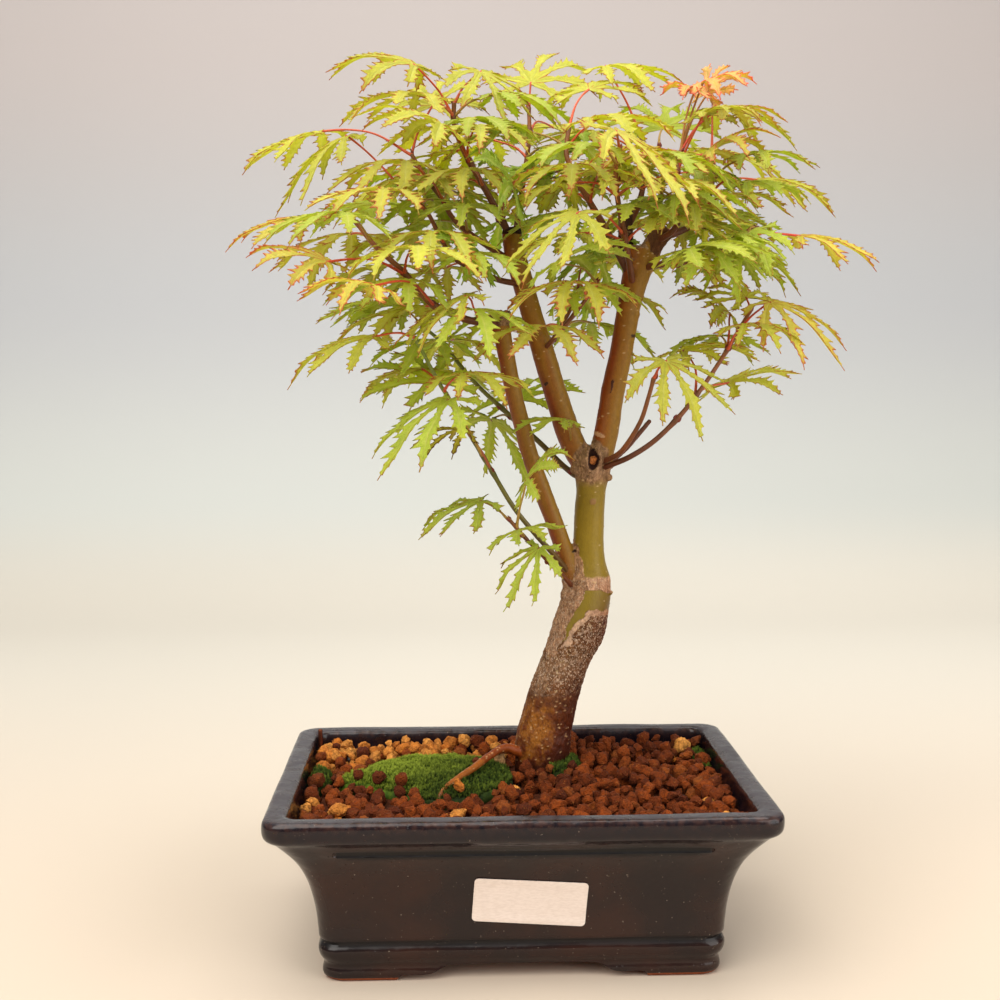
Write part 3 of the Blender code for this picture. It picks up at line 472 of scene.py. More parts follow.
def evaluated(item):
    """Points, normals and faces of an object with its modifiers on, which is then removed."""
    bpy.context.view_layer.update()
    graph = bpy.context.evaluated_depsgraph_get()
    mesh = bpy.data.meshes.new_from_object(item.evaluated_get(graph))
    points, normals = np.empty((2, len(mesh.vertices) * 3))
    mesh.vertices.foreach_get("co", points)
    mesh.vertex_normals.foreach_get("vector", normals)
    faces = [tuple(face.vertices) for face in mesh.polygons]
    bpy.data.meshes.remove(mesh)
    bpy.data.objects.remove(item)
    return points.reshape(-1, 3), normals.reshape(-1, 3), faces


def shown(name, data):
    """A new object in the scene."""
    item = bpy.data.objects.new(name, data)
    bpy.context.collection.objects.link(item)
    return item


def fused(solids, voxel, smoothing):
    """One skin round solids that overlap."""
    item = shown("fusing", make_mesh("fusing", joined(solids)))
    skin = item.modifiers.new("skin", "REMESH")
    skin.mode = "VOXEL"
    skin.voxel_size = voxel
    soften = item.modifiers.new("soften", "SMOOTH")
    soften.factor = 0.5
    soften.iterations = smoothing
    return evaluated(item)


def cut_away(solid, tools):
    """The solid with the tools' shapes cut out of it."""
    item = shown("cutting", make_mesh("cutting", solid))
    cutters = [shown("tool", make_mesh("tool", tool)) for tool in tools]
    for cutter in cutters:
        cut = item.modifiers.new("cut", "BOOLEAN")
        cut.operation = "DIFFERENCE"
        cut.object = cutter
    result = evaluated(item)
    for cutter in cutters:
        bpy.data.objects.remove(cutter)
    return result


def add_piece(name, solid, finishes, replaces=(), sharp=None):
    """A named, shown object in the frame, which stands for the CAD nodes it replaces."""
    mesh = make_mesh(name, solid, MM, PLANT_SPOT)
    mesh.shade_smooth()
    if sharp:
        mesh.set_sharp_from_angle(angle=math.radians(sharp))
    for finish in finishes:
        mesh.materials.append(finish)
    item = shown(name, mesh)
    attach(item, "root")
    replaces = [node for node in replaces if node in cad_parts]
    if replaces:
        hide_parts(*replaces)


# ---------------------------------------------------------------- material nodes
class Finish:
    """A Principled material and short ways to add nodes to it. Sizes are millimetres."""

    def __init__(self, name, **shader_values):
        self.material = bpy.data.materials.new(name)
        self.material.use_nodes = True
        self.tree = self.material.node_tree
        self.shader = self.tree.nodes["Principled BSDF"]
        for socket, value in shader_values.items():
            self.shader.inputs[socket.replace("_", " ")].default_value = value
        self.place = self.add("ShaderNodeTexCoord").outputs["Object"]

    def add(self, kind, **settings):
        node = self.tree.nodes.new(kind)
        for name, value in settings.items():
            setattr(node, name, value)
        return node

    def link(self, source, target):
        """Joins an output to an input, or sets the input to a plain value."""
        if isinstance(source, bpy.types.NodeSocket):
            self.tree.links.new(source, target)
        elif isinstance(source, (tuple, np.ndarray)):
            target.default_value = (*source, 1.0)
        else:
            target.default_value = source

    def noise(self, size, detail=3.0, stretch=(1, 1, 1)):
        """Noise with features about size millimetres wide."""
        mapping = self.add("ShaderNodeMapping")
        mapping.inputs["Scale"].default_value = [1 / (size * MM * part) for part in stretch]
        self.link(self.place, mapping.inputs["Vector"])
        node = self.add("ShaderNodeTexNoise")
        node.inputs["Scale"].default_value = 1.0
        node.inputs["Detail"].default_value = detail
        self.link(mapping.outputs["Vector"], node.inputs["Vector"])
        return node.outputs["Fac"]

    def along(self, axis):
        """The place along an axis, in metres."""
        split = self.add("ShaderNodeSeparateXYZ")
        self.link(self.place, split.inputs["Vector"])
        return split.outputs[axis]

    def cells(self, size, feature="F1"):
        node = self.add("ShaderNodeTexVoronoi", feature=feature)
        node.inputs["Scale"].default_value = 1 / (size * MM)
        self.link(self.place, node.inputs["Vector"])
        return node.outputs["Distance"]

    def mark(self, name, part=None):
        """A value that the mesh carries, as a colour or as one of its channels."""
        node = self.add("ShaderNodeAttribute", attribute_name=name)
        if part in (None, "Alpha"):
            return node.outputs[part or "Color"]
        split = self.add("ShaderNodeSeparateColor")
        self.link(node.outputs["Color"], split.inputs["Color"])
        return split.outputs[part]

    def spread(self, source, low, high, to_low=0.0, to_high=1.0):
        """Maps a range of values onto another, smoothly and clamped."""
        node = self.add("ShaderNodeMapRange", interpolation_type="SMOOTHSTEP")
        self.link(source, node.inputs["Value"])
        for socket, value in (("From Min", low), ("From Max", high), ("To Min", to_low),
                              ("To Max", to_high)):
            node.inputs[socket].default_value = value
        return node.outputs["Result"]

    def math(self, operation, first, second=0.0):
        node = self.add("ShaderNodeMath", operation=operation)
        self.link(first, node.inputs[0])
        self.link(second, node.inputs[1])
        return node.outputs["Value"]

    def times(self, first, second):
        return self.math("MULTIPLY", first, second)

    def mix(self, share, first, second, blend="MIX"):
        """Mixes two colours."""
        node = self.add("ShaderNodeMix", data_type="RGBA", blend_type=blend)
        self.link(share, node.inputs["Factor"])
        self.link(first, node.inputs[6])
        self.link(second, node.inputs[7])
        return node.outputs[2]

    def patches(self, tone, patch, source, low, high, most=1.0):
        """The tone, with another colour where the source is high."""
        return self.mix(self.spread(source, low, high, 0.0, most), tone, patch)

    def film(self, tone, layer, share, most):
        """The tone under a layer that covers most of it where the share is 1."""
        return self.mix(self.times(share, most), tone, layer)

    def bump(self, source, depth, normal=None):
        """Bumps about depth millimetres high."""
        node = self.add("ShaderNodeBump")
        node.inputs["Distance"].default_value = depth * MM
        self.link(source, node.inputs["Height"])
        if normal:
            self.link(normal, node.inputs["Normal"])
        return node.outputs["Normal"]

    def use(self, **sources):
        """Joins outputs to the shader's own inputs."""
        for socket, source in sources.items():
            self.link(source, self.shader.inputs[socket.replace("_", " ")])
        return self.material


# ---------------------------------------------------------------- pot
def rounded_outline(half_x, half_y, radius, side_steps=(30, 22), corner_steps=9):
    """A rounded rectangle, anticlockwise, with the same point count at any size."""
    arcs = []
    for sign_x, sign_y, start in ((1, 1, 0), (-1, 1, 90), (-1, -1, 180), (1, -1, 270)):
        centre = (sign_x * (half_x - radius), sign_y * (half_y - radius))
        angles = np.radians(start + np.linspace(0, 90, corner_steps + 1))
        arcs.append(centre + radius * np.column_stack([np.cos(angles), np.sin(angles)]))
    points = []
    for n, arc in enumerate(arcs):
        shares = np.linspace(0, 1, side_steps[n % 2] + 2)[1:-1, None]
        points += [arc, arc[-1] + (arcs[(n + 1) % 4][0] - arc[-1]) * shares]
    return np.vstack(points)


def wall_ring(inset, height, corner):
    outline = rounded_outline(POT_WIDTH / 2 - inset, POT_DEPTH / 2 - inset, corner)
    return np.column_stack([outline, np.full(len(outline), height)])


def wall_inset(height, wall):
    heights, insets = zip(*sorted(step[:2] for step in wall))
    return np.interp(height, heights, insets)


def wall_curve(wall, spacing):
    """A wall profile at even steps: height, step in, 0, brown edge and dust."""
    rows = [(*step, 0.0, 0.0)[:4] for step in wall]
    return smooth_curve([(*row[:2], 0, *row[2:]) for row in rows], spacing)


def pot_solid():
    """The pot's wall and floor, still without its gaps, holes and grooves."""
    return ringed([wall_ring(row[1], np.clip(row[0], 0, POT_HEIGHT), corner)
                   for wall, corner in ((OUTER_WALL, OUTER_CORNER), (INNER_WALL, INNER_CORNER))
                   for row in wall_curve(wall, 1.1)])


def cloud_tool(outline, reach, along_x):
    """A prism of the cloud outline, mirrored about the middle, right through the foot."""
    upper = smooth_curve([(x, z, 0) for x, z in outline], 1.0)[:, :2]
    below = (outline[0][0], -1.0)
    profile = np.vstack([(-below[0], below[1]), upper * (-1, 1), upper[::-1], below])
    ends = []
    for end in (-reach, reach):
        flat = np.full(len(profile), end)
        columns = (profile[:, 0], flat) if along_x else (flat, -profile[:, 0])
        ends.append(np.column_stack([*columns, profile[:, 1]]))
    return ringed(ends)


def upright_cylinder(radius, low, high, x, sides=40):
    angles = np.linspace(0, 2 * math.pi, sides, endpoint=False)
    circle = [x + radius * np.cos(angles), radius * np.sin(angles)]
    return ringed([np.column_stack([*circle, np.full(sides, end)]) for end in (low, high)])


def wall_depth(points, corner):
    """How far in from the rim's outer face each point lies, round the corners too."""
    past_x = abs(points[:, 0]) - (POT_WIDTH / 2 - corner)
    past_y = abs(points[:, 1]) - (POT_DEPTH / 2 - corner)
    gap = np.clip(past_x - past_y, -corner, corner)
    round_part = (np.sqrt(2 * corner ** 2 - gap ** 2) - past_x - past_y) / 2
    flat_part = corner - np.maximum(past_x, past_y)
    return np.where(abs(past_x - past_y) < corner, round_part, flat_part)


def pot_tools():
    """What is cut from the pot: the recess, the clouds, the drain holes and the grooves."""
    yield ringed([wall_ring(RECESS_INSET, end, OUTER_CORNER) for end in (-1.0, RECESS_HEIGHT)])
    yield cloud_tool(FRONT_CLOUD, POT_DEPTH / 2, along_x=True)
    yield cloud_tool(SIDE_CLOUD, POT_WIDTH / 2, along_x=False)
    for x in (-DRAIN_X, DRAIN_X):
        yield upright_cylinder(DRAIN_RADIUS, 1.0, FLOOR_TOP + 1, x)
    face = POT_DEPTH / 2 - wall_inset(GROOVE_HEIGHT, OUTER_WALL) + GROOVE_RADIUS - GROOVE_DEPTH
    for y in (-face, face):
        ends = [(x, y, GROOVE_HEIGHT, GROOVE_RADIUS) for x in (-GROOVE_REACH, GROOVE_REACH)]
        yield tube(ends, 16, 4.0, dome=1.0)


def glaze():
    finish = Finish("glazed_clay", Coat_Weight=0.08, Coat_Roughness=0.05, Specular_IOR_Level=0.31)
    worn, dusty, groove_shade = (finish.mark("wear_and_shade", part) for part in ("Red", "Green", "Blue"))
    tone = finish.patches(colour(29, 19, 19), colour(46, 25, 19), finish.noise(26), 0.35, 0.7)
    # painted reflection: the glaze on the rim turns blue-black
    rim = finish.spread(finish.along("Z"), *RIM_BAND)
    tone = finish.film(tone, colour(14, 11, 20), rim, 0.85)
    # painted shade: near-black glaze in the grooves and in the line over the foot
    tone = finish.mix(groove_shade, tone, colour(8, 7, 10))
    edge = finish.times(worn, finish.spread(finish.noise(2.2, 5), 0.3, 0.75))
    tone = finish.film(tone, colour(78, 48, 36), edge, 0.8)
    dust = finish.times(dusty, finish.spread(finish.noise(7, 5), 0.3, 0.7, 0.1, 0.9))
    tone = finish.film(tone, colour(78, 76, 82), dust, 0.8)
    specks = finish.spread(finish.noise(1.1, 2), 0.72, 0.76)
    tone = finish.film(tone, colour(150, 136, 122), specks, 0.5)
    rough = finish.math("ADD", finish.spread(finish.noise(14, 4), 0.3, 0.8, 0.12, 0.26),
                        finish.times(dust, 0.30))
    rough = finish.math("ADD", rough, finish.times(groove_shade, 0.3))
    wave = finish.bump(finish.noise(9, 2), 0.6)
    pits = finish.bump(finish.spread(finish.cells(3.2), 0.05, 0.14), 0.10, wave)
    return finish.use(Base_Color=tone, Roughness=rough, Normal=pits)


def terracotta():
    finish = Finish("bare_clay", Roughness=0.88, Specular_IOR_Level=0.25)
    tone = finish.mix(finish.noise(4, 5), colour(150, 78, 44), colour(112, 54, 30))
    tone = finish.patches(tone, colour(176, 118, 84), finish.noise(0.7, 3), 0.62, 0.72)
    return finish.use(Base_Color=tone, Normal=finish.bump(finish.noise(0.8, 4), 0.35))


def pot_wear(points):
    """Brown edge, dust, and painted shade in the grooves, at each point of the pot."""
    wear_and_shade = np.zeros((len(points), 3))
    depths = wall_depth(points, OUTER_CORNER)
    for inner, wall in ((True, INNER_WALL), (False, OUTER_WALL)):
        profile = wall_curve(wall, 0.5)
        for n in np.flatnonzero((depths > RIM_MIDDLE) == inner):
            gaps = (profile[:, 0] - points[n, 2]) ** 2 + (profile[:, 1] - depths[n]) ** 2
            wear_and_shade[n, :2] = profile[np.argmin(gaps), 3:5].clip(0, 1)
    # painted shade: the glaze is dark in the grooves and in the line over the foot
    x, y, z = abs(points).T
    in_groove = np.clip(1.7 - abs(z - GROOVE_HEIGHT) / GROOVE_RADIUS, 0, 0.9)
    in_groove[(x > GROOVE_REACH) | (y < 60)] = 0
    in_foot_line = np.clip(1.6 - abs(z - FOOT_LINE) / 1.1, 0, 0.9)
    wear_and_shade[:, 2] = np.maximum(in_groove, in_foot_line)
    return wear_and_shade


def make_pot():
    points, normals, faces = cut_away(pot_solid(), pot_tools())
    # bare clay: the underside, the cut edges and the foot's last millimetre
    centres = np.array([points[list(face)].mean(axis=0) for face in faces])
    heights, depths = centres[:, 2], wall_depth(centres, OUTER_CORNER)
    bare = (heights < FLOOR_TOP - 0.2) & (depths > wall_inset(heights, OUTER_WALL) + 0.3)
    bare |= heights < BARE_FOOT
    uneven = noise(points, 24, 11)[:, None] * 0.25 * (points[:, 2:] > 8)
    pot = Solid(points + normals * uneven, faces, {"wear_and_shade": pot_wear(points)},
                bare.astype(int).tolist())
    add_piece("pot_glazed", pot, [glaze(), terracotta()], ["pot"], sharp=50)


def make_label():
    """A blank paper label with rounded corners that follows the hollow of the front wall."""
    half_x, half_y = STICKER_SIZE[0] / 2, STICKER_SIZE[1] / 2
    outline = rounded_outline(half_x, half_y, STICKER_CORNER, (24, 10), 5)
    turn = math.radians(-STICKER_TILT)
    spin = np.array(((math.cos(turn), math.sin(turn)), (-math.sin(turn), math.cos(turn))))
    top = STICKER_THICKNESS
    rings = []
    for share, lift in ((1, 0), (1, top), (0.985, top + 0.05), (0.8, top), (0.5, top), (0.1, top)):
        x, z = (outline * share @ spin + STICKER_CENTRE).T
        inset = wall_inset(z, OUTER_WALL) - STICKER_GAP - lift
        rings.append(np.column_stack([x, inset - POT_DEPTH / 2, z]))
    finish = Finish("label_paper", Roughness=0.42, Specular_IOR_Level=0.35)
    fibres = finish.noise(0.6, 5, stretch=(3, 1, 1))
    tone = finish.patches(colour(232, 218, 209), colour(221, 206, 196), fibres, 0.3, 0.75)
    tone = finish.patches(tone, colour(214, 199, 187), finish.noise(9, 4), 0.55, 0.85, 0.4)
    paper = finish.use(Base_Color=tone, Normal=finish.bump(fibres, 0.03))
    add_piece("paper_label", ringed(rings), [paper], ["sticker"], sharp=40)


def make_wire():
    finish = Finish("tie_wire", Metallic=1.0, Roughness=0.4)
    tone = finish.mix(finish.noise(2.5, 4), colour(132, 74, 52), colour(78, 44, 34))
    copper = finish.use(Base_Color=tone, Normal=finish.bump(finish.noise(0.5, 3), 0.05))
    add_piece("tie_wire_end", tube(TIE_WIRE, 16, 0.8, dome=0.5), [copper],
              ["tie_wire"])


def make_screens():
    """Round pieces of woven plastic mesh over the drain holes."""
    finish = Finish("screen_mesh", Roughness=0.45)
    tone = finish.mix(finish.noise(3), colour(34, 36, 34), colour(52, 54, 48))
    plastic = finish.use(Base_Color=tone, Normal=finish.bump(finish.noise(0.6), 0.08))
    pitch, thread, middle = 2.0, 0.32, SCREEN_LOW + 0.55
    reach = SCREEN_RADIUS - thread
    for side, x in (("left", -DRAIN_X), ("right", DRAIN_X)):
        strands = []
        for n in range(int(-reach / pitch), int(reach / pitch) + 1):
            across = n * pitch
            half = math.sqrt(reach ** 2 - across ** 2)
            steps = np.arange(-half, half + 0.1, pitch / 2)
            weave = list(zip(steps, 0.2 * np.cos(np.pi * (steps / pitch + n))))
            along = [(x + step, across, middle + lift, thread) for step, lift in weave]
            cross = [(x + across, step, middle - lift, thread) for step, lift in weave]
            strands += [tube(along, 6, 0.7), tube(cross, 6, 0.7)]
        rim = [(x + reach * math.cos(turn), reach * math.sin(turn), middle, thread)
               for turn in np.linspace(0, 2 * math.pi, 40)]
        strands.append(tube(rim, 6, 1.2))
        add_piece(f"drain_mesh_{side}", joined(strands), [plastic],
                  [f"drain_screen_{side}"])


# ---------------------------------------------------------------- soil
GRAIN_SIZES = (1.7, 3.4)          # smallest and largest radius
GRAIN_COUNT = 2600
DROP_TRIES = 7                    # how many nearby places a grain may roll to
FIELD_CELL = 0.5                  # of the height field that the grains pile up on
BED_DEPTH = 3.0                   # how far the packed soil lies under the loose grains' level
# single grains on top of the rest: (x, y, height of the middle, radius, tone)
LOOSE_GRAINS = [(77, 48, 63.5, 3.9, 0.9), (-37, 51, 63.5, 3.2, 0.95), (-80, 41, 62.5, 3.2, 0.9),
                (-24, -16, 65.5, 2.6, 0.9), (-47, -6, 65.5, 3.0, 0.2), (-16, 13, 67.0, 2.4, 0.3),
                (-57, 1, 64.5, 2.6, 0.15), (-66, 7, 63.5, 2.4, 0.3)]


def soil_height(x, y):
    away = np.hypot(x - TRUNK_FOOT[0], y - TRUNK_FOOT[1])
    lumps = 0.5 * np.sin(x * 0.31 + 1.0) * np.cos(y * 0.27)
    return SOIL_LEVEL + MOUND * np.exp(-(away / 42) ** 2) + lumps


def make_soil_bed():
    """The packed soil under the loose grains."""
    rings = []
    for height in np.linspace(14.0, SOIL_LEVEL - BED_DEPTH, 12):
        rings.append(wall_ring(wall_inset(height, INNER_WALL) + 0.3, height, INNER_CORNER))
    edge = rings[-1]
    for share in np.linspace(0.99, 0.03, 40):
        ring = edge * (share, share, 1)
        ring[:, 2] = soil_height(*ring.T[:2]) - BED_DEPTH + 0.9 * rough_noise(ring, 4, 21)
        rings.append(ring)
    finish = Finish("wet_clay_dust", Roughness=0.95, Specular_IOR_Level=0.2)
    tone = finish.mix(finish.noise(2.5, 5), colour(92, 44, 20), colour(50, 24, 12))
    dust = finish.use(Base_Color=tone, Normal=finish.bump(finish.noise(0.9, 4), 0.5))
    add_piece("soil_bed", ringed(rings), [dust], ["soil"])


def grain_shapes(rng):
    """A few broken, crumbly lumps of baked clay with a radius of about one."""
    shapes = []
    base = ball((0, 0, 0), 1.0)
    for n in range(18):
        points = base.points * rng.uniform((1.0, 0.85, 0.7), (1.3, 1.0, 0.95))
        points *= 1 + 0.30 * noise(base.points + n * 9, 0.95, 31)[:, None]
        for _ in range(6):          # flat broken faces
            way = unit(rng.normal(size=3))
            reach = points @ way
            limit = rng.uniform(0.52, 0.86)
            points -= np.outer(np.maximum(reach - limit, 0) * 0.9, way)
        crumbs = np.abs(noise(base.points + n * 5, 0.40, 35)) * 0.34
        shapes.append(points * (0.98 + crumbs[:, None]))
    return shapes, np.array(base.faces)


def random_turn(rng):
    """A rotation matrix in any direction, from a random quaternion."""
    w, x, y, z = unit(rng.normal(size=4))
    return np.array(((1 - 2 * (y * y + z * z), 2 * (x * y - z * w), 2 * (x * z + y * w)),
                     (2 * (x * y + z * w), 1 - 2 * (x * x + z * z), 2 * (y * z - x * w)),
                     (2 * (x * z - y * w), 2 * (y * z + x * w), 1 - 2 * (x * x + y * y))))


class SoilField:
    """Height of whatever lies in the pot, on a square grid, for dropping grains onto."""

    def __init__(self):
        self.half = np.array((POT_WIDTH, POT_DEPTH)) / 2 - wall_inset(SOIL_LEVEL, INNER_WALL)
        self.x, self.y = (np.arange(-half, half, FIELD_CELL) for half in self.half)
        grid = np.meshgrid(self.x, self.y, indexing="ij")
        self.height = soil_height(*grid) - 3.4
        for name in MOSS:
            self.height = np.maximum(self.height, moss_height(name, *grid) - 0.3)
        self.moss = sum(moss_cover(name, *grid) for name in MOSS) > 0.04
        self.wood = np.hypot(grid[0] - TRUNK_FOOT[0], grid[1] - TRUNK_FOOT[1]) < 12.5

    def rest(self, x, y, radius):
        """Height at which a ball dropped at a place comes to rest, and its footprint."""
        span = tuple(slice(*np.searchsorted(line, (place - radius, place + radius)))
                     for line, place in ((self.x, x), (self.y, y)))
        flat = (self.x[span[0], None] - x) ** 2 + (self.y[None, span[1]] - y) ** 2
        dome = np.sqrt(np.maximum(radius ** 2 - flat, 0))
        under = flat < radius ** 2
        touch = np.where(under, self.height[span] + dome * 0.82, -1e3)
        return touch.max(initial=-1e3), span, dome, under

    def drop(self, x, y, radius, rng):
        """Rolls a grain into the lowest of a few nearby places, and piles the field up."""
        best = None
        for _ in range(DROP_TRIES):
            spot = np.array((x, y)) + rng.normal(size=2) * radius * 0.9
            spot = np.clip(spot, -self.half + radius, self.half - radius)
            height, span, dome, under = self.rest(*spot, radius)
            if self.wood[span][under].any() or not under.any():
                continue
            if best is None or height < best[0]:
                best = (height, spot, span, dome, under)
        if best is None:
            return None
        height, spot, span, dome, under = best
        top = np.where(under, height + dome * 0.9, -1e3)
        self.height[span] = np.maximum(self.height[span], top)
        return np.array((*spot, height))


def grain_tone(rng, x, y):
    """0 for wet red-brown clay, 1 for dry tan clay, which lies at the back and the left."""
    back = np.clip((y - 18) / 30, 0, 1) * np.clip((30 - x) / 60, 0, 1)
    left = np.clip((-58 - x) / 20, 0, 1)
    chance = 0.02 + 0.85 * max(back, left * 0.25) + 0.10 * np.clip((y - 35) / 15, 0, 1)
    if rng.random() < chance:
        return rng.uniform(0.55, 0.95)
    return rng.uniform(0.0, 0.40)


def akadama():
    finish = Finish("akadama_clay", Roughness=0.92, Specular_IOR_Level=0.25)
    dryness, own = finish.mark("grain", "Red"), finish.mark("grain", "Green")
    wet = finish.mix(own, colour(82, 30, 4), colour(142, 64, 12))
    dry = finish.mix(own, colour(200, 113, 36), colour(232, 160, 76))
    tone = finish.patches(wet, dry, dryness, 0.3, 0.75)
    tone = finish.patches(tone, colour(58, 24, 8), finish.noise(1.6, 5), 0.35, 0.75, 0.6)
    tone = finish.patches(tone, colour(188, 114, 50), finish.noise(0.8, 3), 0.62, 0.72, 0.5)
    crumbs = finish.bump(finish.cells(0.7), 0.35)
    pores = finish.bump(finish.noise(0.8, 6), 0.8, crumbs)
    return finish.use(Base_Color=tone, Normal=pores)


def dropped_grains(rng):
    """Middle, radius and tone of every grain that came to rest in the open."""
    field = SoilField()
    for n in range(GRAIN_COUNT):
        radius = rng.uniform(*GRAIN_SIZES) if n < GRAIN_COUNT * 0.45 else rng.uniform(1.6, 3.0)
        x, y = rng.uniform(-field.half, field.half)
        if field.moss[np.searchsorted(field.x, x) - 1, np.searchsorted(field.y, y) - 1]:
            continue
        spot = field.drop(x, y, radius, rng)
        limit = 2.2 if -80 < x < 4 and -26 < y < 34 else 4.0 + 1.6 * (y > 34)
        if spot is not None and spot[2] < soil_height(x, y) + limit:
            yield spot, radius, grain_tone(rng, x, y)
    for x, y, z, radius, tone in LOOSE_GRAINS:
        yield np.array((x, y, z)), radius, tone


def make_grains():
    rng = np.random.default_rng(5)
    shapes, face_rows = grain_shapes(rng)
    points, tones, faces = [], [], []
    for n, (spot, radius, tone) in enumerate(list(dropped_grains(rng))):
        shape = shapes[n % len(shapes)] @ random_turn(rng).T
        points.append(shape * radius + spot)
        tones.append(np.tile((tone, rng.random(), 0.0), (len(shape), 1)))
        faces.append(face_rows + n * len(shape))
    grains = Solid(np.vstack(points), np.vstack(faces).tolist(), {"grain": np.vstack(tones)})
    add_piece("akadama_grains", grains, [akadama()], sharp=40)


# ---------------------------------------------------------------- moss
# outlines as in the frame, and the tufts that grow up the pot's wall
MOSS = {
    "moss_patch": [(-74, 10), (-66, 24), (-56, 35), (-41, 43), (-26, 39), (-12, 30), (-3, 23),
                   (-2, 10), (-2, -2), (-12, -11), (-28, -18), (-38, -14), (-49, -7), (-61, 2)],
    "moss_by_trunk": [(13, 12), (19, 8), (26, 12), (29, 21), (28, 31), (24, 35), (21, 24)],
    "moss_wall_left": [(-85.6, 5), (-85.6, 24), (-79, 22), (-77, 12), (-80, 5)],
    "moss_wall_right": [(85.6, 24), (85.6, 52), (81.5, 50), (79.5, 38), (80.5, 27)],
}
MOSS_RISE = {"moss_patch": 5.0, "moss_by_trunk": 3.0, "moss_wall_left": 3.5,
             "moss_wall_right": 2.0}
MOSS_DENSITY = 2.3                # sprigs on each square millimetre


def moss_cover(name, x, y):
    """1 in the middle of a moss outline, 0 at its edge and beyond."""
    outline = flat_curve(MOSS[name], 1.5)[:, :2]
    middle = outline.mean(axis=0)
    edge = outline - middle
    way = np.column_stack([np.ravel(x), np.ravel(y)]) - middle
    angles = np.arctan2(edge[:, 1], edge[:, 0])
    order = np.argsort(angles)
    reach = np.interp(np.arctan2(way[:, 1], way[:, 0]), angles[order],
                      np.linalg.norm(edge, axis=1)[order], period=2 * math.pi)
    share = np.linalg.norm(way, axis=1) / reach
    return np.clip(1 - share, 0, 1).reshape(np.shape(x))


def moss_height(name, x, y):
    cover = moss_cover(name, x, y)
    rise = MOSS_RISE[name] * (1 - (1 - cover) ** 3) + 0.2
    spots = np.column_stack([np.ravel(x), np.ravel(y), np.zeros(np.size(x))])
    lumps = 0.9 * rough_noise(spots, 6.0, 41).reshape(np.shape(x))
    return np.where(cover > 0, soil_height(x, y) + rise + lumps, 0)


def sprig_shape(rng):
    """One moss shoot: narrow leaves that fan out round its tip, about one unit tall."""
    points, faces = [], []
    for n in range(7):
        turn = n * 2.4 + rng.uniform(-0.3, 0.3)
        spread = rng.uniform(0.22, 0.55)
        out = np.array((math.cos(turn), math.sin(turn), 0))
        side = np.array((-out[1], out[0], 0)) * 0.09
        foot = np.array((0, 0, 0.1 + 0.04 * n))
        bend = foot + out * spread * 0.6 + (0, 0, 0.6)
        tip = foot + out * spread + (0, 0, 0.95 + 0.2 * rng.random())
        start = len(points)
        points += [foot - side, foot + side, bend + side, bend - side, tip]
        faces += [(start, start + 1, start + 2, start + 3), (start + 3, start + 2, start + 4)]
    return np.array(points), faces


def moss_green():
    finish = Finish("moss_green", Roughness=0.85, Specular_IOR_Level=0.3)
    # painted light and shade: the moss runs from dark green where shaded to bright green where lit
    painted_light = finish.mark("moss", "Red")
    tone = finish.mix(painted_light, colour(14, 26, 3), colour(62, 92, 10))
    fresh = finish.mix(painted_light, colour(34, 54, 6), colour(112, 136, 22))
    tip = finish.mix(painted_light, colour(74, 96, 26), colour(176, 192, 66))
    tone = finish.patches(tone, fresh, finish.noise(2.2, 4), 0.35, 0.75, 0.8)
    tone = finish.patches(tone, colour(26, 34, 8), finish.noise(6, 3), 0.5, 0.75, 0.6)
    # painted shade and highlight: each sprig is dark at its foot and pale at its tip
    tone = finish.mix(finish.mark("moss", "Green"), tone, tip)
    return finish.use(Base_Color=tone, Normal=finish.bump(finish.noise(0.5, 3), 0.3))


def moss_cushion(name):
    """The lumpy ground of a moss patch, from its outline to its middle."""
    outline = flat_curve(MOSS[name], 1.5)[:-1]
    middle = outline.mean(axis=0)
    rings = [outline.copy()]
    rings[0][:, 2] = soil_height(*outline.T[:2]) - 5
    for share in np.linspace(0.995, 0.02, 26):
        ring = middle + (outline - middle) * share
        ring[:, 2] = moss_height(name, *ring.T[:2])
        rings.append(ring)
    painted_light = moss_bright(np.vstack(rings))
    return ringed(rings, {"moss": np.column_stack([painted_light, painted_light * 0, painted_light * 0])})


def make_moss():
    rng = np.random.default_rng(9)
    sprigs = [sprig_shape(rng) for _ in range(8)]
    green = moss_green()
    for name, corners in MOSS.items():
        low, high = (edge(flat_curve(corners, 1.5)[:-1, :2], axis=0) for edge in (np.min, np.max))
        spots = rng.uniform(low, high, (int(MOSS_DENSITY * np.prod(high - low)), 2))
        spots = spots[moss_cover(name, *spots.T) > 0.01]
        tufts = [moss_cushion(name)]
        for (x, y), z in zip(spots, moss_height(name, *spots.T) - 0.25):
            points, faces = sprigs[rng.integers(len(sprigs))]
            turn = rng.uniform(0, 2 * math.pi)
            spin = np.array(((math.cos(turn), -math.sin(turn), 0),
                             (math.sin(turn), math.cos(turn), 0), (0, 0, 1)))
            size = rng.uniform(0.9, 2.1)
            lean = points[:, 2:] * rng.normal(size=2) * 0.25
            placed = points @ spin.T * (size * 0.75, size * 0.75, size) + (x, y, z)
            placed[:, :2] += lean
            lit = moss_bright(placed) + rng.uniform(-0.28, 0.28)
            # painted shade and highlight: how far up the sprig its pale tip colour reaches
            tip = points[:, 2].clip(0, 1.2) ** 2 * 0.7
            tufts.append(Solid(placed, faces, {
                "moss": np.column_stack([lit.clip(0, 1), tip, tip * 0])}))
        add_piece(f"{name}_tufts", joined(tufts), [green], [name])


def moss_bright(points):
    """Painted light and shade: bright green at the open left end, dark in the trunk's shade and
    near the wall.
    """
    across = np.clip((-4 - points[:, 0] + 0.8 * (points[:, 1] - 18)) / 50, 0, 1)
    return np.clip(across * (points[:, 0] > -76) + 0.25 * noise(points, 8, 43) + 0.06, 0, 1)


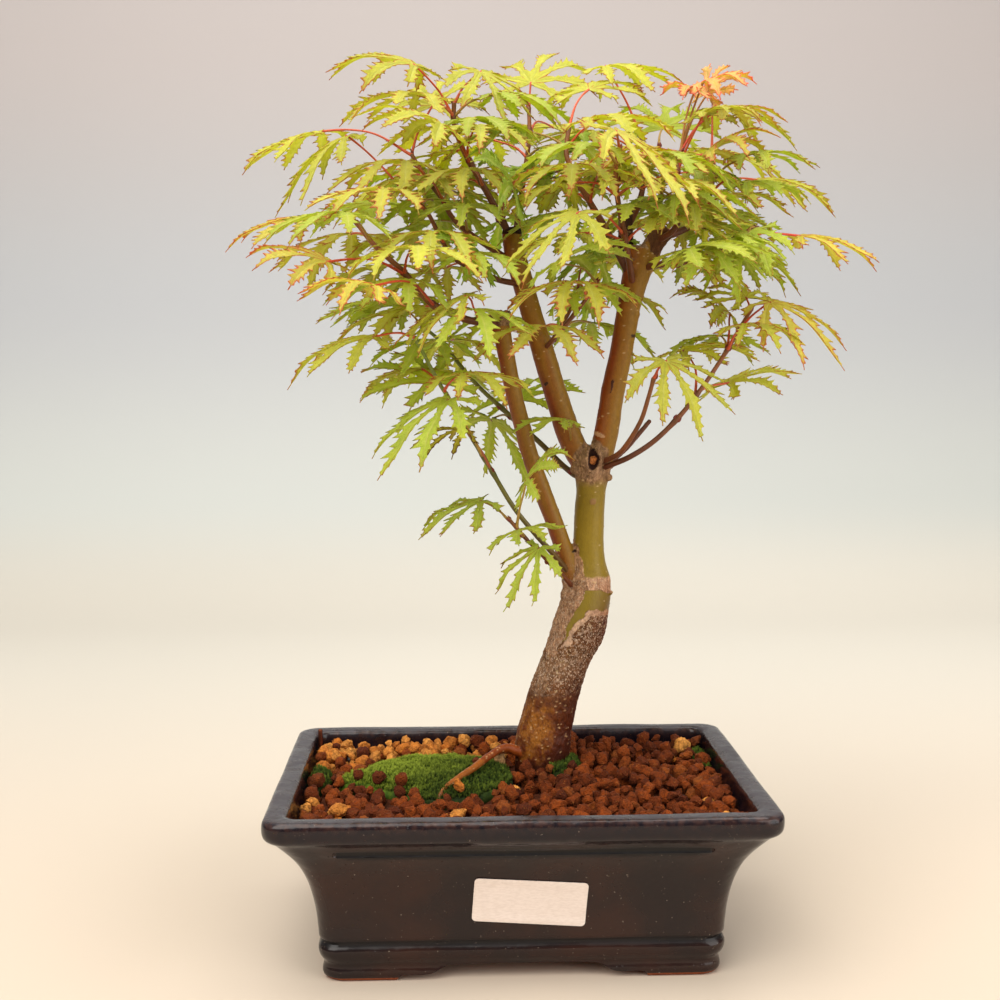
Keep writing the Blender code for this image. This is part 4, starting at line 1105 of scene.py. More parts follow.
# ---------------------------------------------------------------- trunk and limbs
# bark of the trunk by height: (height, colour, how fissured)
TRUNK_BARK = [
    (54, (52, 16, 3), 0.5), (63, (70, 25, 5), 0.5), (70, (92, 38, 6), 0.5),
    (80, (112, 52, 9), 0.5), (88, (110, 54, 14), 0.6), (93, (106, 56, 20), 0.7),
    (98, (126, 82, 48), 0.8), (106, (150, 112, 80), 0.9), (112, (126, 84, 50), 0.9),
    (120, (112, 68, 34), 0.9), (127, (132, 88, 54), 0.9), (134, (180, 138, 104), 0.7),
    (140, (204, 156, 122), 0.6), (143.8, (210, 166, 132), 0.5), (144.8, (146, 122, 34), 0.05),
    (165, (150, 124, 34), 0.0), (182, (138, 114, 32), 0.05), (186, (156, 120, 84), 0.5),
    (199, (156, 116, 80), 0.6)]
# patches on the trunk's front: (outline in x and z, colour, how fissured)
TRUNK_PATCHES = [
    ([(17, 144.5), (29, 144), (31, 138), (27, 129), (22, 119), (17, 110), (12, 116)],
     (182, 138, 104), 0.8),
    ([(29.5, 138.5), (36, 139), (44, 137), (45, 127), (39, 129.5), (35, 131), (31, 130.4),
      (27, 126.3), (23, 119.8), (20.5, 116), (22.5, 123), (26, 130)], (142, 120, 36), 0.0),
    ([(20, 113.5), (22.5, 119), (27, 126), (31, 130.2), (35, 131), (39, 129.6), (44, 127.5),
      (44, 125.3), (39, 127.3), (35, 128.6), (31.4, 127.6), (27.6, 123.5), (23.4, 115.5)],
     (216, 176, 144), 0.4),
    ([(37.6, 126.4), (41.5, 125), (42.5, 118), (39.6, 114.5), (37.4, 119)], (116, 60, 34), 0.8),
    ([(24.6, 163), (27, 157), (28.6, 149), (29.5, 143), (26, 142), (24.3, 152)],
     (196, 150, 112), 0.7)]
# scars on the limbs and trunk: (x, z, half length, half width, turn in degrees, colour)
SCARS = [(36.4, 204.5, 2.6, 0.9, -28, (196, 150, 110)), (50.2, 246, 1.0, 0.8, 0, (60, 34, 22)),
         (33.6, 176.5, 1.4, 1.2, 0, (150, 112, 64)), (41.5, 225, 3.0, 0.5, 80, (70, 34, 20)),
         (14.2, 226, 1.0, 0.6, 30, (60, 36, 24)), (25.8, 155, 1.2, 0.6, 20, (44, 26, 18))]
KNOB_SCAR = (33.4, 194.0, 2.4, 4.4)     # the pruning scar: x, z, half width, half height
# small swellings: (x, y, z, radius)
NUBS = [
    (38.8, 22, 138.0, 2.6), (40.9, 21, 137.4, 1.3), (40.4, 22, 186.5, 1.8), (26.5, 23, 190, 2.4),
    (40.5, 23, 192, 2.6), (24.6, 25, 139.5, 3.4), (24, 25, 136, 4.0), (31, 19.5, 194, 3.6),
    (36.2, 19.5, 195, 3.2), (-4.5, 16.5, 252, 3.0), (-9, 18, 250, 2.6), (-2.5, 20, 254, 2.8),
    (12.5, 26.5, 246, 2.4), (50, 20.5, 275, 3.0), (57, 21.5, 279, 3.4), (8, 27.5, 252, 2.2),
    (51, 22, 255, 2.4), (13.5, 30, 238, 2.6), (28, 23, 141, 3.2)]
# bark of the stubs and roots: (colour, how fissured)
OTHER_BARK = {
    "stub_dark": ((62, 36, 22), 0.5), "stub_round": ((104, 66, 36), 0.5),
    "cut_twig": ((104, 60, 40), 0.2), "exposed_root": ((142, 66, 20), 0.2),
    "root_stub": ((186, 142, 92), 0.8)}
# each limb's route, and its side count
LIMBS = {
    "trunk": (TRUNK, 40), "limb_left": (LIMB_LEFT, 24), "limb_middle": (LIMB_MIDDLE, 24),
    "limb_right": (LIMB_RIGHT, 24), "stub_dark": (STUB_DARK, 20), "stub_round": (STUB_ROUND, 20),
    "cut_twig": (CUT_TWIG, 12), "exposed_root": (EXPOSED_ROOT, 16), "root_stub": (ROOT_STUB, 16)}
BARK_VOXEL = 0.42
LENTICELS = 1500
BARK_DEPTH = 0.87                 # how much darker the bark is than its tones
SMOOTH_LIMB = 0.12                # how fissured the limbs' young bark is
FRONT = 0.45                      # how far back the way out may point on the trunk's front


def inside_outline(x, z, outline):
    """Which of many points lie inside an outline."""
    found = np.zeros(len(x), bool)
    for (x0, z0), (x1, z1) in zip(outline, outline[1:] + outline[:1]):
        crosses = (z0 > z) != (z1 > z)
        rise = (z1 - z0) if z1 != z0 else 1e-9
        found ^= crosses & (x < (x1 - x0) * (z - z0) / rise + x0)
    return found


def nearest_limb(points):
    """For each point of the wood: its limb, the way out from the limb's middle, and how far up."""
    best = np.full(len(points), 1e9)
    limb = np.zeros(len(points), int)
    out = np.zeros_like(points)
    along = np.zeros(len(points))
    for number, (route, _) in enumerate(LIMBS.values()):
        path = smooth_curve(route, 6.0)
        travelled = 0.0
        for a, b in zip(path, path[1:]):
            step = b[:3] - a[:3]
            length = np.linalg.norm(step)
            share = np.clip((points - a[:3]) @ step / step.dot(step), 0, 1)
            away = points - (a[:3] + share[:, None] * step)
            distance = np.linalg.norm(away, axis=1)
            score = distance / (a[3] + share * (b[3] - a[3]))
            closer = score < best
            best[closer] = score[closer]
            limb[closer] = number
            out[closer] = away[closer] / np.maximum(distance[closer], 1e-6)[:, None]
            along[closer] = travelled + share[closer] * length
            travelled += length
    names = np.array(list(LIMBS))
    return names[limb], out, along


def stretched(points, out, along):
    """Coordinates that follow a limb, so that noise on them runs lengthwise."""
    return np.column_stack([out[:, 0] * 8 + points[:, 0] * 0.25, out[:, 1] * 8,
                            along * 0.3 + out[:, 2] * 8 * 0.3])


def speckle(points, centres, sizes):
    """1 on small upright spots at the centres, 0 away from them."""
    order = np.argsort(points[:, 2])
    heights = points[order, 2]
    value = np.zeros(len(points))
    for centre, size in zip(centres, sizes):
        low, high = np.searchsorted(heights, (centre[2] - 3, centre[2] + 3))
        near = order[low:high]
        gap = np.linalg.norm((points[near] - centre) * (0.8, 0.8, 1.3), axis=1) / size
        value[near] = np.maximum(value[near], np.clip(1.35 - gap, 0, 1))
    return value


def ramp(values, start, width):
    """0 up to the start, 1 a width beyond it, which may be a negative width."""
    return np.clip((values - start) / width, 0, 1)


class Bark:
    """Colour, height above the smooth skin, and fissures of the bark at each point."""

    def __init__(self, points, normals):
        self.points, self.normals = points, normals
        self.x, self.y, self.z = points.T
        self.limb, self.out, along = nearest_limb(points)
        self.grain = stretched(points, self.out, along)
        self.trunk = self.limb == "trunk"
        self.tones = np.empty_like(points)
        self.fissured = np.full(len(points), SMOOTH_LIMB)
        self.colour_limbs()
        self.colour_trunk()
        self.colour_ends()
        self.colour_collars()
        self.crack()
        self.stain()
        self.dot()
        self.scar()
        self.open_knob()

    def paint(self, here, tone, fissured=None):
        self.tones[here] = colour(*tone)
        if fissured is not None:
            self.fissured[here] = fissured

    def tint(self, tone, share):
        """Moves the colours towards a tone, by a share for each point."""
        self.tones += (colour(*tone) - self.tones) * share[:, None]

    def colour_limbs(self):
        """Red-brown on the left, olive-brown on the right."""
        side = (0.5 + 0.75 * self.out[:, 0] - 0.25 * self.out[:, 1]
                + 0.35 * noise(self.grain, 5, 61)).clip(0, 1)
        self.tones[:] = colour(144, 66, 24)
        self.tint((152, 112, 34), side)

    def colour_trunk(self):
        x, _, z = self.points.T
        heights, bands, fissured = zip(*TRUNK_BARK)
        bands = np.array([colour(*band) for band in bands])
        uneven = ramp(z, 128, -20)
        shifted = z + 0.5 * rough_noise(self.points, 3, 71) + uneven * (
            4.5 * rough_noise(self.points, 9, 72) - 3.0 * self.out[:, 0])
        banded = np.column_stack([np.interp(shifted, heights, band) for band in bands.T])
        self.tones[self.trunk] = banded[self.trunk]
        self.fissured[self.trunk] = np.interp(shifted, heights, fissured)[self.trunk]
        warped_x, warped_z = (
            place + 1.1 * rough_noise(self.points, 5, seed) for place, seed in ((x, 51), (z, 53)))
        front = self.trunk & (self.out[:, 1] < FRONT)
        for outline, tone, rough in TRUNK_PATCHES:
            self.paint(front & inside_outline(warped_x, warped_z, outline), tone, rough)

    def colour_ends(self):
        """The stubs and roots, the left limb's foot and the ends of the old cuts."""
        limb, z = self.limb, self.z
        for name, (tone, rough) in OTHER_BARK.items():
            self.paint(limb == name, tone, rough)
        self.paint((limb == "exposed_root") & (self.y < 5), (158, 88, 28))
        left = limb == "limb_left"
        self.paint(left & (z < 143 + 0.6 * noise(self.points, 4, 73)), (182, 138, 104), 0.8)
        cut = (limb == "limb_right") & (z > 277) & (self.normals[:, 2] > 0.4)
        self.paint(left & (z > 250) | cut, (150, 118, 88), 0.9)
        charred = (limb == "limb_middle") & (z > 289) | (limb == "stub_dark") & (z > 297)
        self.paint(charred, (58, 34, 22), 0.6)

    def colour_collars(self):
        """The swollen fork and the limbs' collars are old grey-brown bark."""
        fork = np.hypot(np.hypot(self.x - 33, (self.y - 24) * 0.8), (self.z - 193) * 0.9)
        share = ramp(fork - 1.6 * noise(self.points, 3, 81), 8.6, -1.2) * (
            self.z > 184.5 + 1.5 * noise(self.points, 4, 82))
        self.tint((166, 130, 96), share)
        self.fissured = np.maximum(self.fissured, share * 0.9)

    def crack(self):
        """Small plates parted by short cracks, with crumbs on them."""
        plates = rough_noise(self.points * (1, 1, 0.45), 1.7, 91, 2)
        self.cracks = np.clip(1 - 4.2 * np.abs(plates), 0, 1) ** 1.3
        self.flakes = rough_noise(self.points * (1, 1, 0.8), 1.3, 95)
        relief = (0.32 * self.flakes - 0.36 * self.cracks
                  + 0.22 * rough_noise(self.grain, 3.0, 93, 2))
        self.lift = self.fissured * relief + 0.22 * rough_noise(self.points, 9, 97)
        self.tones *= 1 - (self.cracks * self.fissured)[:, None] * (0.34, 0.42, 0.48)
        crumbs = 0.45 * self.flakes * (0.08 + self.fissured)
        self.tones = self.tones * (1 + crumbs[:, None]).clip(0.45, 1.8)

    def stain(self):
        """A painted golden highlight at the left of the foot, pale flecks, and painted shade on
        the right side.
        """
        x, _, z = self.points.T
        # painted highlight: a golden patch where the light falls at the left of the trunk's foot
        middle = np.interp(z, [70, 80, 90], [7.0, 8.5, 10.5])
        golden_highlight = (1.15 - np.hypot((x - middle) / 8.0, (z - 80) / 15)
                  + 0.6 * rough_noise(self.points * (1.1, 1, 0.8), 2.2, 103)).clip(0, 1)
        front = self.trunk & (self.out[:, 1] < FRONT)
        self.tint((176, 110, 34), 0.78 * golden_highlight * front * ramp(z, 94, -4))
        pale = rough_noise(self.points * (1, 1, 1.4), 1.15, 101, 2)
        self.tint((224, 196, 170), 0.62 * ramp(pale, 0.38, 0.25) * self.fissured
                  * ramp(z, 92, 6) * (z < 150))
        shaded = np.clip(self.out[:, 0] * 1.2 + 0.05, 0, 1) * self.trunk * ramp(z, 150, -20)
        self.tones = self.tones * (1 - shaded[:, None] * (0.40, 0.58, 0.68))

    def dot(self):
        """Lenticels: raised pale dots."""
        z = self.z
        rng = np.random.default_rng(77)
        picks = rng.choice(np.flatnonzero((z > 62) & (self.y < 45)), LENTICELS)
        picks = picks[(z[picks] < 97) | (rng.random(len(picks)) < 0.22)]
        dots = speckle(self.points, self.points[picks], rng.uniform(0.25, 0.5, len(picks)))
        tones = np.where((z < 96)[:, None], colour(226, 180, 126), colour(216, 186, 134))
        self.tones += (tones - self.tones) * 0.75 * dots[:, None]
        self.lift += 0.22 * dots

    def scar(self):
        for x, z, half_length, half_width, turn, tone in SCARS:
            cos, sin = math.cos(math.radians(turn)), math.sin(math.radians(turn))
            u = ((self.x - x) * cos + (self.z - z) * sin) / half_length
            v = ((self.z - z) * cos - (self.x - x) * sin) / half_width
            here = np.sqrt(u ** 2 + v ** 2) < 1 + 0.25 * noise(self.points, 1.2, 88)
            here &= self.out[:, 1] < -0.2
            self.paint(here, tone)
            self.lift[here] += 0.25

    def open_knob(self):
        """The pruning scar on the fork: a grey lip round a dark pit with a pale core."""
        x, z, half_width, half_height = KNOB_SCAR
        reach = np.sqrt(((self.x - x) / half_width) ** 2 + ((self.z - z) / half_height) ** 2)
        reach += 0.12 * noise(self.points, 1.5, 89)
        reach[self.normals[:, 1] >= -0.25] = np.inf
        lip, pit, core = reach < 1.75, reach < 1.0, reach < 0.5
        crumbs = (1 + 0.3 * self.flakes[lip, None]).clip(0.5, 1.4)
        self.tones[lip] = colour(176, 138, 104) * crumbs
        self.lift[lip] += 0.9 * np.exp(-((reach[lip] - 1.25) / 0.3) ** 2)
        self.tones[pit] = colour(48, 24, 16)
        self.lift[pit] -= 1.1 * ramp(reach[pit], 1.0, -0.3)
        self.tones[core] = colour(186, 112, 54) * (1 - 0.6 * self.cracks[core, None])
        self.lift[core] += 0.7

    def marks(self):
        """The values that the material reads: colours, then fissures, wetness and flecks."""
        z = self.z
        damp = ramp(z - 2 * noise(self.points, 4, 99), 66, -5)
        tones = self.tones * (1 - 0.45 * damp[:, None]) * BARK_DEPTH
        wet = ramp(z, 95, -6) * (self.trunk + 0.3 * (self.limb == "exposed_root"))
        flecked = ramp(z, 93, 5) * (z < 150)
        return {"bark": tones.clip(0, 1),
                "bark_wear": np.column_stack([self.fissured, wet, flecked])}


def bark():
    finish = Finish("bark", Specular_IOR_Level=0.26)
    fissured, wet, flecked = (finish.mark("bark_wear", part) for part in ("Red", "Green", "Blue"))
    own = finish.mark("bark")
    fine = finish.noise(0.6, 6, stretch=(1, 1, 2.0))
    mottled = finish.times(finish.spread(fine, 0.42, 0.68),
                           finish.spread(fissured, 0.0, 0.6, 0.2, 0.85))
    tone = finish.mix(mottled, own, finish.mix(0.55, own, colour(60, 18, 4)))
    fibres = finish.noise(0.42, 4, stretch=(1, 1, 2.2))
    fleck = finish.times(finish.times(finish.spread(fibres, 0.56, 0.64), flecked), fissured)
    tone = finish.film(tone, colour(232, 204, 174), fleck, 0.75)
    speck = finish.times(finish.spread(finish.noise(0.9, 3), 0.62, 0.68), fissured)
    tone = finish.film(tone, colour(58, 28, 12), speck, 0.7)
    dry = finish.spread(fissured, 0.0, 0.5, 0.36, 0.78)
    rough = finish.math("SUBTRACT", dry, finish.times(wet, 0.28))
    depth = finish.times(fine, finish.spread(fissured, 0.0, 1.0, 0.22, 1.0))
    return finish.use(Base_Color=tone, Roughness=rough, Normal=finish.bump(depth, 0.6))


def make_trunk():
    solids = [tube(route, sides, 0.9, dome=0.25) for route, sides in LIMBS.values()]
    solids += [ball(nub[:3], nub[3]) for nub in NUBS]
    points, normals, faces = fused(solids, BARK_VOXEL, 10)
    skin = Bark(points, normals)
    wood = Solid(points + normals * skin.lift[:, None], faces, skin.marks())
    add_piece("trunk_bark", wood, [bark()], ["trunk"])


# ---------------------------------------------------------------- shoots
STEM_SIDES = 12
STEM_TONES = (((92, 44, 28), (142, 84, 38)), ((92, 52, 26), (120, 136, 50)))    # brown, green


def shoot_route(name):
    foot, tip, points = SHOOTS[name]
    radii = np.linspace(foot, tip, len(points))
    return [(*point, radius) for point, radius in zip(points, radii)]


def shoot_point(name, place):
    """Point, direction and radius of a shoot at a share of its points."""
    foot, tip, points = SHOOTS[name]
    last = len(points) - 1
    index = min(int(place * last), last - 1)
    behind, ahead = np.array(points[index:index + 2], float)
    spot = behind + (ahead - behind) * (place * last - index)
    return spot, unit(ahead - behind), foot + (tip - foot) * place


def young_bark():
    finish = Finish("young_bark", Roughness=0.42, Specular_IOR_Level=0.4)
    fine, own = finish.noise(0.8, 4), finish.mark("stem")
    tone = finish.patches(own, finish.mix(0.5, own, (0.02, 0.01, 0.0)), fine, 0.35, 0.75, 0.6)
    tone = finish.patches(tone, colour(196, 156, 110), finish.noise(0.5, 2), 0.70, 0.76, 0.6)
    return finish.use(Base_Color=tone, Normal=finish.bump(fine, 0.12))


def bud(name, place, out):
    """A small red bud on one side of a shoot."""
    spot, tangent, radius = shoot_point(name, place)
    route = [(*(spot + out * radius * away + tangent * ahead), thick)
             for away, ahead, thick in ((0.5, 0.0, 0.5), (1.2, 1.0, 0.62), (1.3, 2.4, 0.12))]
    shape = tube(route, 8, 0.5, dome=0.6)
    shape.marks = {"stem": np.tile(colour(120, 44, 30), (len(shape.points), 1))}
    return shape


def make_shoots(finish):
    rng = np.random.default_rng(3)
    for name in SHOOTS:
        nodes = sorted({leaf[1] for leaf in LEAVES.values() if leaf[0] == name})
        stem = tube(shoot_route(name), STEM_SIDES, 0.9, dome=0.8)
        # the stem swells and darkens where leaves grow
        bulge = np.zeros(len(stem.points))
        for place in nodes:
            away = np.linalg.norm(stem.points - shoot_point(name, place)[0], axis=1)
            bulge += np.exp(-(away / 2.2) ** 2)
        rows = stem.points.reshape(-1, STEM_SIDES, 3)
        middles = rows.mean(axis=1, keepdims=True)
        swell = 1 + 0.32 * bulge.reshape(-1, STEM_SIDES, 1)
        stem.points = (middles + (rows - middles) * swell).reshape(-1, 3)
        low, high = STEM_TONES[name in GREEN_SHOOTS]
        share = np.repeat(np.linspace(0, 1, len(rows)), STEM_SIDES)[:, None]
        tones = colour(*low) * (1 - share) + colour(*high) * share
        tones *= 1 + 0.25 * noise(stem.points, 4, 13)[:, None]
        stem.marks = {"stem": tones * (1 - 0.35 * bulge.clip(0, 1)[:, None])}
        parts = [stem]
        for place in nodes:
            for side in (-1, 1):
                out = np.cross(shoot_point(name, place)[1], rng.normal(size=3))
                parts.append(bud(name, place, side * unit(out)))
        add_piece(f"shoot_{name}_stem", joined(parts), [finish], [f"shoot_{name}"])


# ---------------------------------------------------------------- leaves
def levelled(along, normal):
    """The frame of a blade that has turned its upper side part of the way to the sky."""
    normal = normal * (1 - LEVELLING) + np.array((0, 0, LEVELLING))
    normal = unit(normal - along * normal.dot(along))
    return along, normal, np.cross(normal, along)


def leaf_frame(heading, lean, roll):
    """Middle lobe's direction, the upper side's normal and the way across."""
    heading, lean, roll = (math.radians(angle) for angle in (heading, lean, roll))
    along = np.array((math.cos(lean) * math.cos(heading), -math.sin(lean),
                      math.cos(lean) * math.sin(heading)))
    flat = unit(np.array((0, -1, 0)) - along * -along[1])
    return levelled(along, flat * math.cos(roll) + np.cross(along, flat) * math.sin(roll))


def lobe_side(reach, sinus, start, widest, rng):
    """One half of a lobe: the midrib place and the half width of each row, tooth by tooth."""
    span = reach - start
    teeth = max(3, round(span / TOOTH_PITCH))
    step = 1.0 / (teeth + 0.9)
    keys, shares = LOBE_OUTLINE
    shares = (max(0.35, sinus / widest), *shares[1:])
    rows = []
    for tooth in range(teeth):
        bite = 1 - TOOTH_DEPTH * rng.uniform(0.75, 1.15) * (0.5 if tooth == 0 else 1.0)
        swell = rng.uniform(0.66, 1.24)
        for offset, factor in ((0.0, bite), (0.40, 0.60 * swell), (0.64, swell)):
            t = (tooth + 0.35 + offset) * step
            rows.append((start + span * t, widest * np.interp(t, keys, shares) * factor))
    t_last = (rows[-1][0] - start) / span
    for t in (t_last + (1 - t_last) * 0.4, 1.0):
        rows.append((start + span * t, max(0.12, widest * 0.16 * (1.2 - t))))
    return rows


def lobe_grid(leaf, number, rng):
    """Rows of flat points of a lobe, from one margin over the midrib to the other."""
    size = leaf["size"]
    angle, length = LOBES[number]
    reach = size * length
    widest = leaf["width"] * (0.62 + 0.38 * length)
    sides = SINUSES[number:number + 2]
    start = min(size * max(depth for _, depth in sides), reach * 0.42)
    halves = []
    for way, (valley, depth) in zip((-1, 1), sides):
        spread = math.radians(abs(valley - angle))
        edge = size * depth
        rows = []
        for share in (0.30, 0.65, 1.0):       # the web between lobes
            radius = share * (start * (1 - ACROSS ** 2) + edge * ACROSS ** 2)
            turn = spread * ACROSS
            web = np.column_stack([radius * np.cos(turn), way * radius * np.sin(turn)])
            rows.append((web, 0.0))
        for middle, width in lobe_side(reach, edge * math.sin(spread), start, widest, rng):
            u = np.minimum(middle + VEIN_SLANT * width * ACROSS ** 1.3, reach + 0.4 * width)
            row = np.column_stack([u, way * width * ACROSS])
            rows.append((row, (middle - start) / (reach - start)))
        halves.append(rows)
    return angle, reach, halves


def blade(leaf, rng):
    """The thin sheet of a leaf: points, faces, and each point's share of margin, vein, tip."""
    along, normal, across = leaf["frame"]
    size, droop, junction = leaf["size"], leaf["droop"], leaf["junction"]
    points, marks, faces = [junction], [(0.0, 1.0, 0.0)], []
    for number in range(len(LOBES)):
        angle, reach, halves = lobe_grid(leaf, number, rng)
        cos, sin = math.cos(math.radians(angle)), math.sin(math.radians(angle))
        sag = rng.uniform(0.0, 0.22) * reach
        bend = rng.uniform(-0.12, 0.12) * reach
        twist = rng.uniform(-0.5, 0.5)
        wave, phase = rng.uniform(0.4, 1.3), rng.uniform(0, 2 * math.pi)
        for way, rows in zip((-1, 1), halves):
            behind = [0] * len(ACROSS)        # the first row springs from the junction
            for row, (flat, t) in enumerate(rows):
                u, v = flat.T
                bent = v + bend * t ** 2
                share = np.hypot(u, bent) / size
                plane = (np.outer(u * cos - bent * sin, along)
                         + np.outer(u * sin + bent * cos, across))
                lift = (FOLD * np.abs(v) - BACK_CURL * size * share ** 2 + twist * t * v
                        - VEIN_DEPTH * (ACROSS < 0.05) * (t < 0.9)
                        + PUCKER * ACROSS * (1 - ACROSS) * (1 if row % 3 == 2 else -0.6)
                        + wave * t * math.sin(8.0 * t + phase))
                spot = (junction + plane * (1 - 0.12 * droop * share)[:, None]
                        + np.outer(lift, normal))
                spot[:, 2] -= DROOPING * droop * size * share ** 2 + sag * t ** 2
                ahead = [len(points) + c for c in range(len(ACROSS))]
                points += list(spot)
                marks += [(c ** EDGE_SHARPNESS, max(0.0, 1 - c * 6), t) for c in ACROSS]
                for c in range(len(ACROSS) - 1):
                    quad = (behind[c], ahead[c], ahead[c + 1], behind[c + 1])
                    quad = quad if row else quad[:3]
                    faces.append(quad if way < 0 else quad[::-1])
                behind = ahead
    return np.array(points), faces, np.array(marks)


def thickened(points, faces, normal):
    """A thin sheet as a closed solid: its seams are welded and it gets an under side and a rim."""
    mesh = bpy.data.meshes.new("sheet")
    mesh.from_pydata(points.tolist(), [], faces)
    bm = bmesh.new()
    bm.from_mesh(mesh)
    bpy.data.meshes.remove(mesh)
    source = bm.verts.layers.int.new("source")
    for vert in bm.verts:
        vert[source] = vert.index
    bmesh.ops.remove_doubles(bm, verts=bm.verts, dist=0.02)
    bmesh.ops.recalc_face_normals(bm, faces=bm.faces)
    upward = sum((face.normal * face.calc_area() for face in bm.faces), Vector())
    if upward.dot(Vector(normal)) < 0:
        bmesh.ops.reverse_faces(bm, faces=bm.faces)
    bm.normal_update()
    bm.verts.index_update()
    top, low = (np.array([vert.co + vert.normal * half for vert in bm.verts])
                for half in (LEAF_THICKNESS / 2, -LEAF_THICKNESS / 2))
    kept = [vert[source] for vert in bm.verts]
    count = len(kept)
    upper = [tuple(vert.index for vert in face.verts) for face in bm.faces]
    lower = [tuple(i + count for i in reversed(face)) for face in upper]
    rim = []
    for edge in bm.edges:
        if edge.is_boundary:
            loop = edge.link_loops[0]
            a, b = loop.vert.index, loop.link_loop_next.vert.index
            rim.append((b, a, a + count, b + count))
    bm.free()
    return np.vstack([top, low]), upper + lower + rim, kept + kept


def petiole(leaf, rng):
    """The leaf's stalk, from its shoot to the blade's foot, a little arched."""
    root, tangent, radius = shoot_point(leaf["shoot"], leaf["place"])
    goal = leaf["junction"]
    length = np.linalg.norm(goal - root)
    way = unit(goal - root)
    sag = np.array((0, 0, 0.07 * length)) + rng.normal(size=3) * 0.012 * length
    along, normal, _ = leaf["frame"]
    route = [(root + way * radius * 0.3, 0.85), (root + way * 1.6 + tangent * 0.5, 0.68),
             ((root * 2 + goal) / 3 + sag + tangent * 0.03 * length, 0.46),
             ((root + goal * 2) / 3 + sag, 0.42), (goal, 0.50),
             (goal + along * 1.2 - normal * 0.25, 0.22)]
    return tube([(*spot, thick) for spot, thick in route], 8, 1.2, dome=0.6)


def leaf_finish():
    """A thin leaf that lets light through: green blade, warm margins and tips, pale veins."""
    finish = Finish("leaf_blade", Roughness=0.5, Specular_IOR_Level=0.2)
    edge, vein, tip = (finish.mark("blade", part) for part in ("Red", "Green", "Blue"))
    body, margin = finish.mark("body"), finish.mark("margin")
    warm = finish.math("ADD", edge, finish.times(finish.math("POWER", tip, 5.0), 0.9))
    warm = finish.times(warm, finish.spread(finish.noise(6, 4), 0.30, 0.68, 0.25, 1.35))
    warm = finish.times(warm, finish.mark("margin", "Alpha"))
    deep = finish.mix(0.4, body, colour(130, 160, 60), "MULTIPLY")
    tone = finish.patches(body, deep, finish.noise(3.5, 5), 0.35, 0.7, 0.40)
    tone = finish.patches(tone, colour(228, 222, 72), finish.noise(15, 2), 0.45, 0.7, 0.35)
    tone = finish.patches(tone, margin, warm, 0.12, 0.75)
    tone = finish.film(tone, colour(244, 242, 160), vein, 0.7)
    network = finish.cells(1.1, "DISTANCE_TO_EDGE")
    tone = finish.mix(finish.spread(network, 0.0, 0.10, 0.24, 0.0), tone, colour(240, 236, 140))
    relief = finish.bump(finish.spread(network, 0.0, 0.25), 0.10)
    finish.use(Base_Color=tone, Normal=relief)
    through = finish.add("ShaderNodeBsdfTranslucent")
    finish.link(finish.mix(1.0, tone, colour(250, 255, 200), "MULTIPLY"), through.inputs["Color"])
    finish.link(relief, through.inputs["Normal"])
    thin = finish.add("ShaderNodeMixShader")
    output = finish.tree.nodes["Material Output"]
    for source, target in ((0.6, thin.inputs["Fac"]),
                           (finish.shader.outputs["BSDF"], thin.inputs[1]),
                           (through.outputs["BSDF"], thin.inputs[2]),
                           (thin.outputs["Shader"], output.inputs["Surface"])):
        finish.link(source, target)
    return finish.material


def all_leaves():
    """Each leaf by name: where it grows, its blade's foot and frame, size, droop and colouring."""
    for name, row in LEAVES.items():
        shoot, place, x, y, z, heading, lean, roll, size, droop, colouring = row
        yield f"leaf_{name}", {
            "shoot": shoot, "place": place, "junction": np.array((x, y, z), float),
            "frame": leaf_frame(heading, lean, roll), "size": size, "droop": droop,
            "colouring": colouring}
    rng = np.random.default_rng(21)
    for shoot, places in CROWN_PAIRS.items():
        for pair, place in enumerate(places):
            spot, tangent, _ = shoot_point(shoot, place)
            for side, sign in (("left", 1), ("right", -1)):
                way = np.array((-tangent[1], tangent[0], 0)) * sign
                way = way / max(np.linalg.norm(way), 0.2) + 0.5 * tangent * (1, 1, 0.3)
                way += rng.normal(size=3) * (0.3, 0.3, 0.12) + (0, 0, 0.22)
                way = unit(way)
                colouring = str(rng.choice(("lime", "green", "lime", "green", "veined")))
                yield f"leaf_{shoot}_pair{pair}_{side}", {
                    "shoot": shoot, "place": place, "colouring": colouring,
                    "junction": spot + way * rng.uniform(15, 24), "droop": rng.uniform(0.3, 0.5),
                    "frame": levelled(unit(way * (1, 1, 0.2)), np.array((0.0, -0.4, 1.0))),
                    "size": rng.uniform(29, 37) * np.interp(spot[0], (10, 80), (1.12, 0.90))}


def make_leaves(stalk_finish):
    blade_finish = leaf_finish()
    for number, (name, leaf) in enumerate(all_leaves()):
        *tones, reach, breadth = COLOURINGS[leaf["colouring"]]
        body, margin, stalk = (colour(*tone) for tone in tones)
        rng = np.random.default_rng(1000 + number)
        leaf["width"] = leaf["size"] * LOBE_WIDTH * breadth
        points, faces, marks = blade(leaf, rng)
        points, faces, kept = thickened(points, faces, leaf["frame"][1])
        sheet = Solid(points, faces, {
            "blade": marks[kept], "body": body * rng.uniform(0.9, 1.1),
            "margin": (*margin, reach * rng.uniform(0.7, 1.3)), "stem": (0, 0, 0)})
        stem = petiole(leaf, rng)
        stem.marks = {"blade": (0, 0, 0), "body": (0, 0, 0), "margin": (0, 0, 0, 0),
                      "stem": stalk * rng.uniform(0.85, 1.1)}
        stem.slots = [1] * len(stem.faces)
        for part in (sheet, stem):
            for mark, values in part.marks.items():
                width = np.shape(values)[-1]
                part.marks[mark] = np.broadcast_to(values, (len(part.points), width))
        add_piece(f"{name}_blade", joined([sheet, stem]), [blade_finish, stalk_finish],
                  [name])


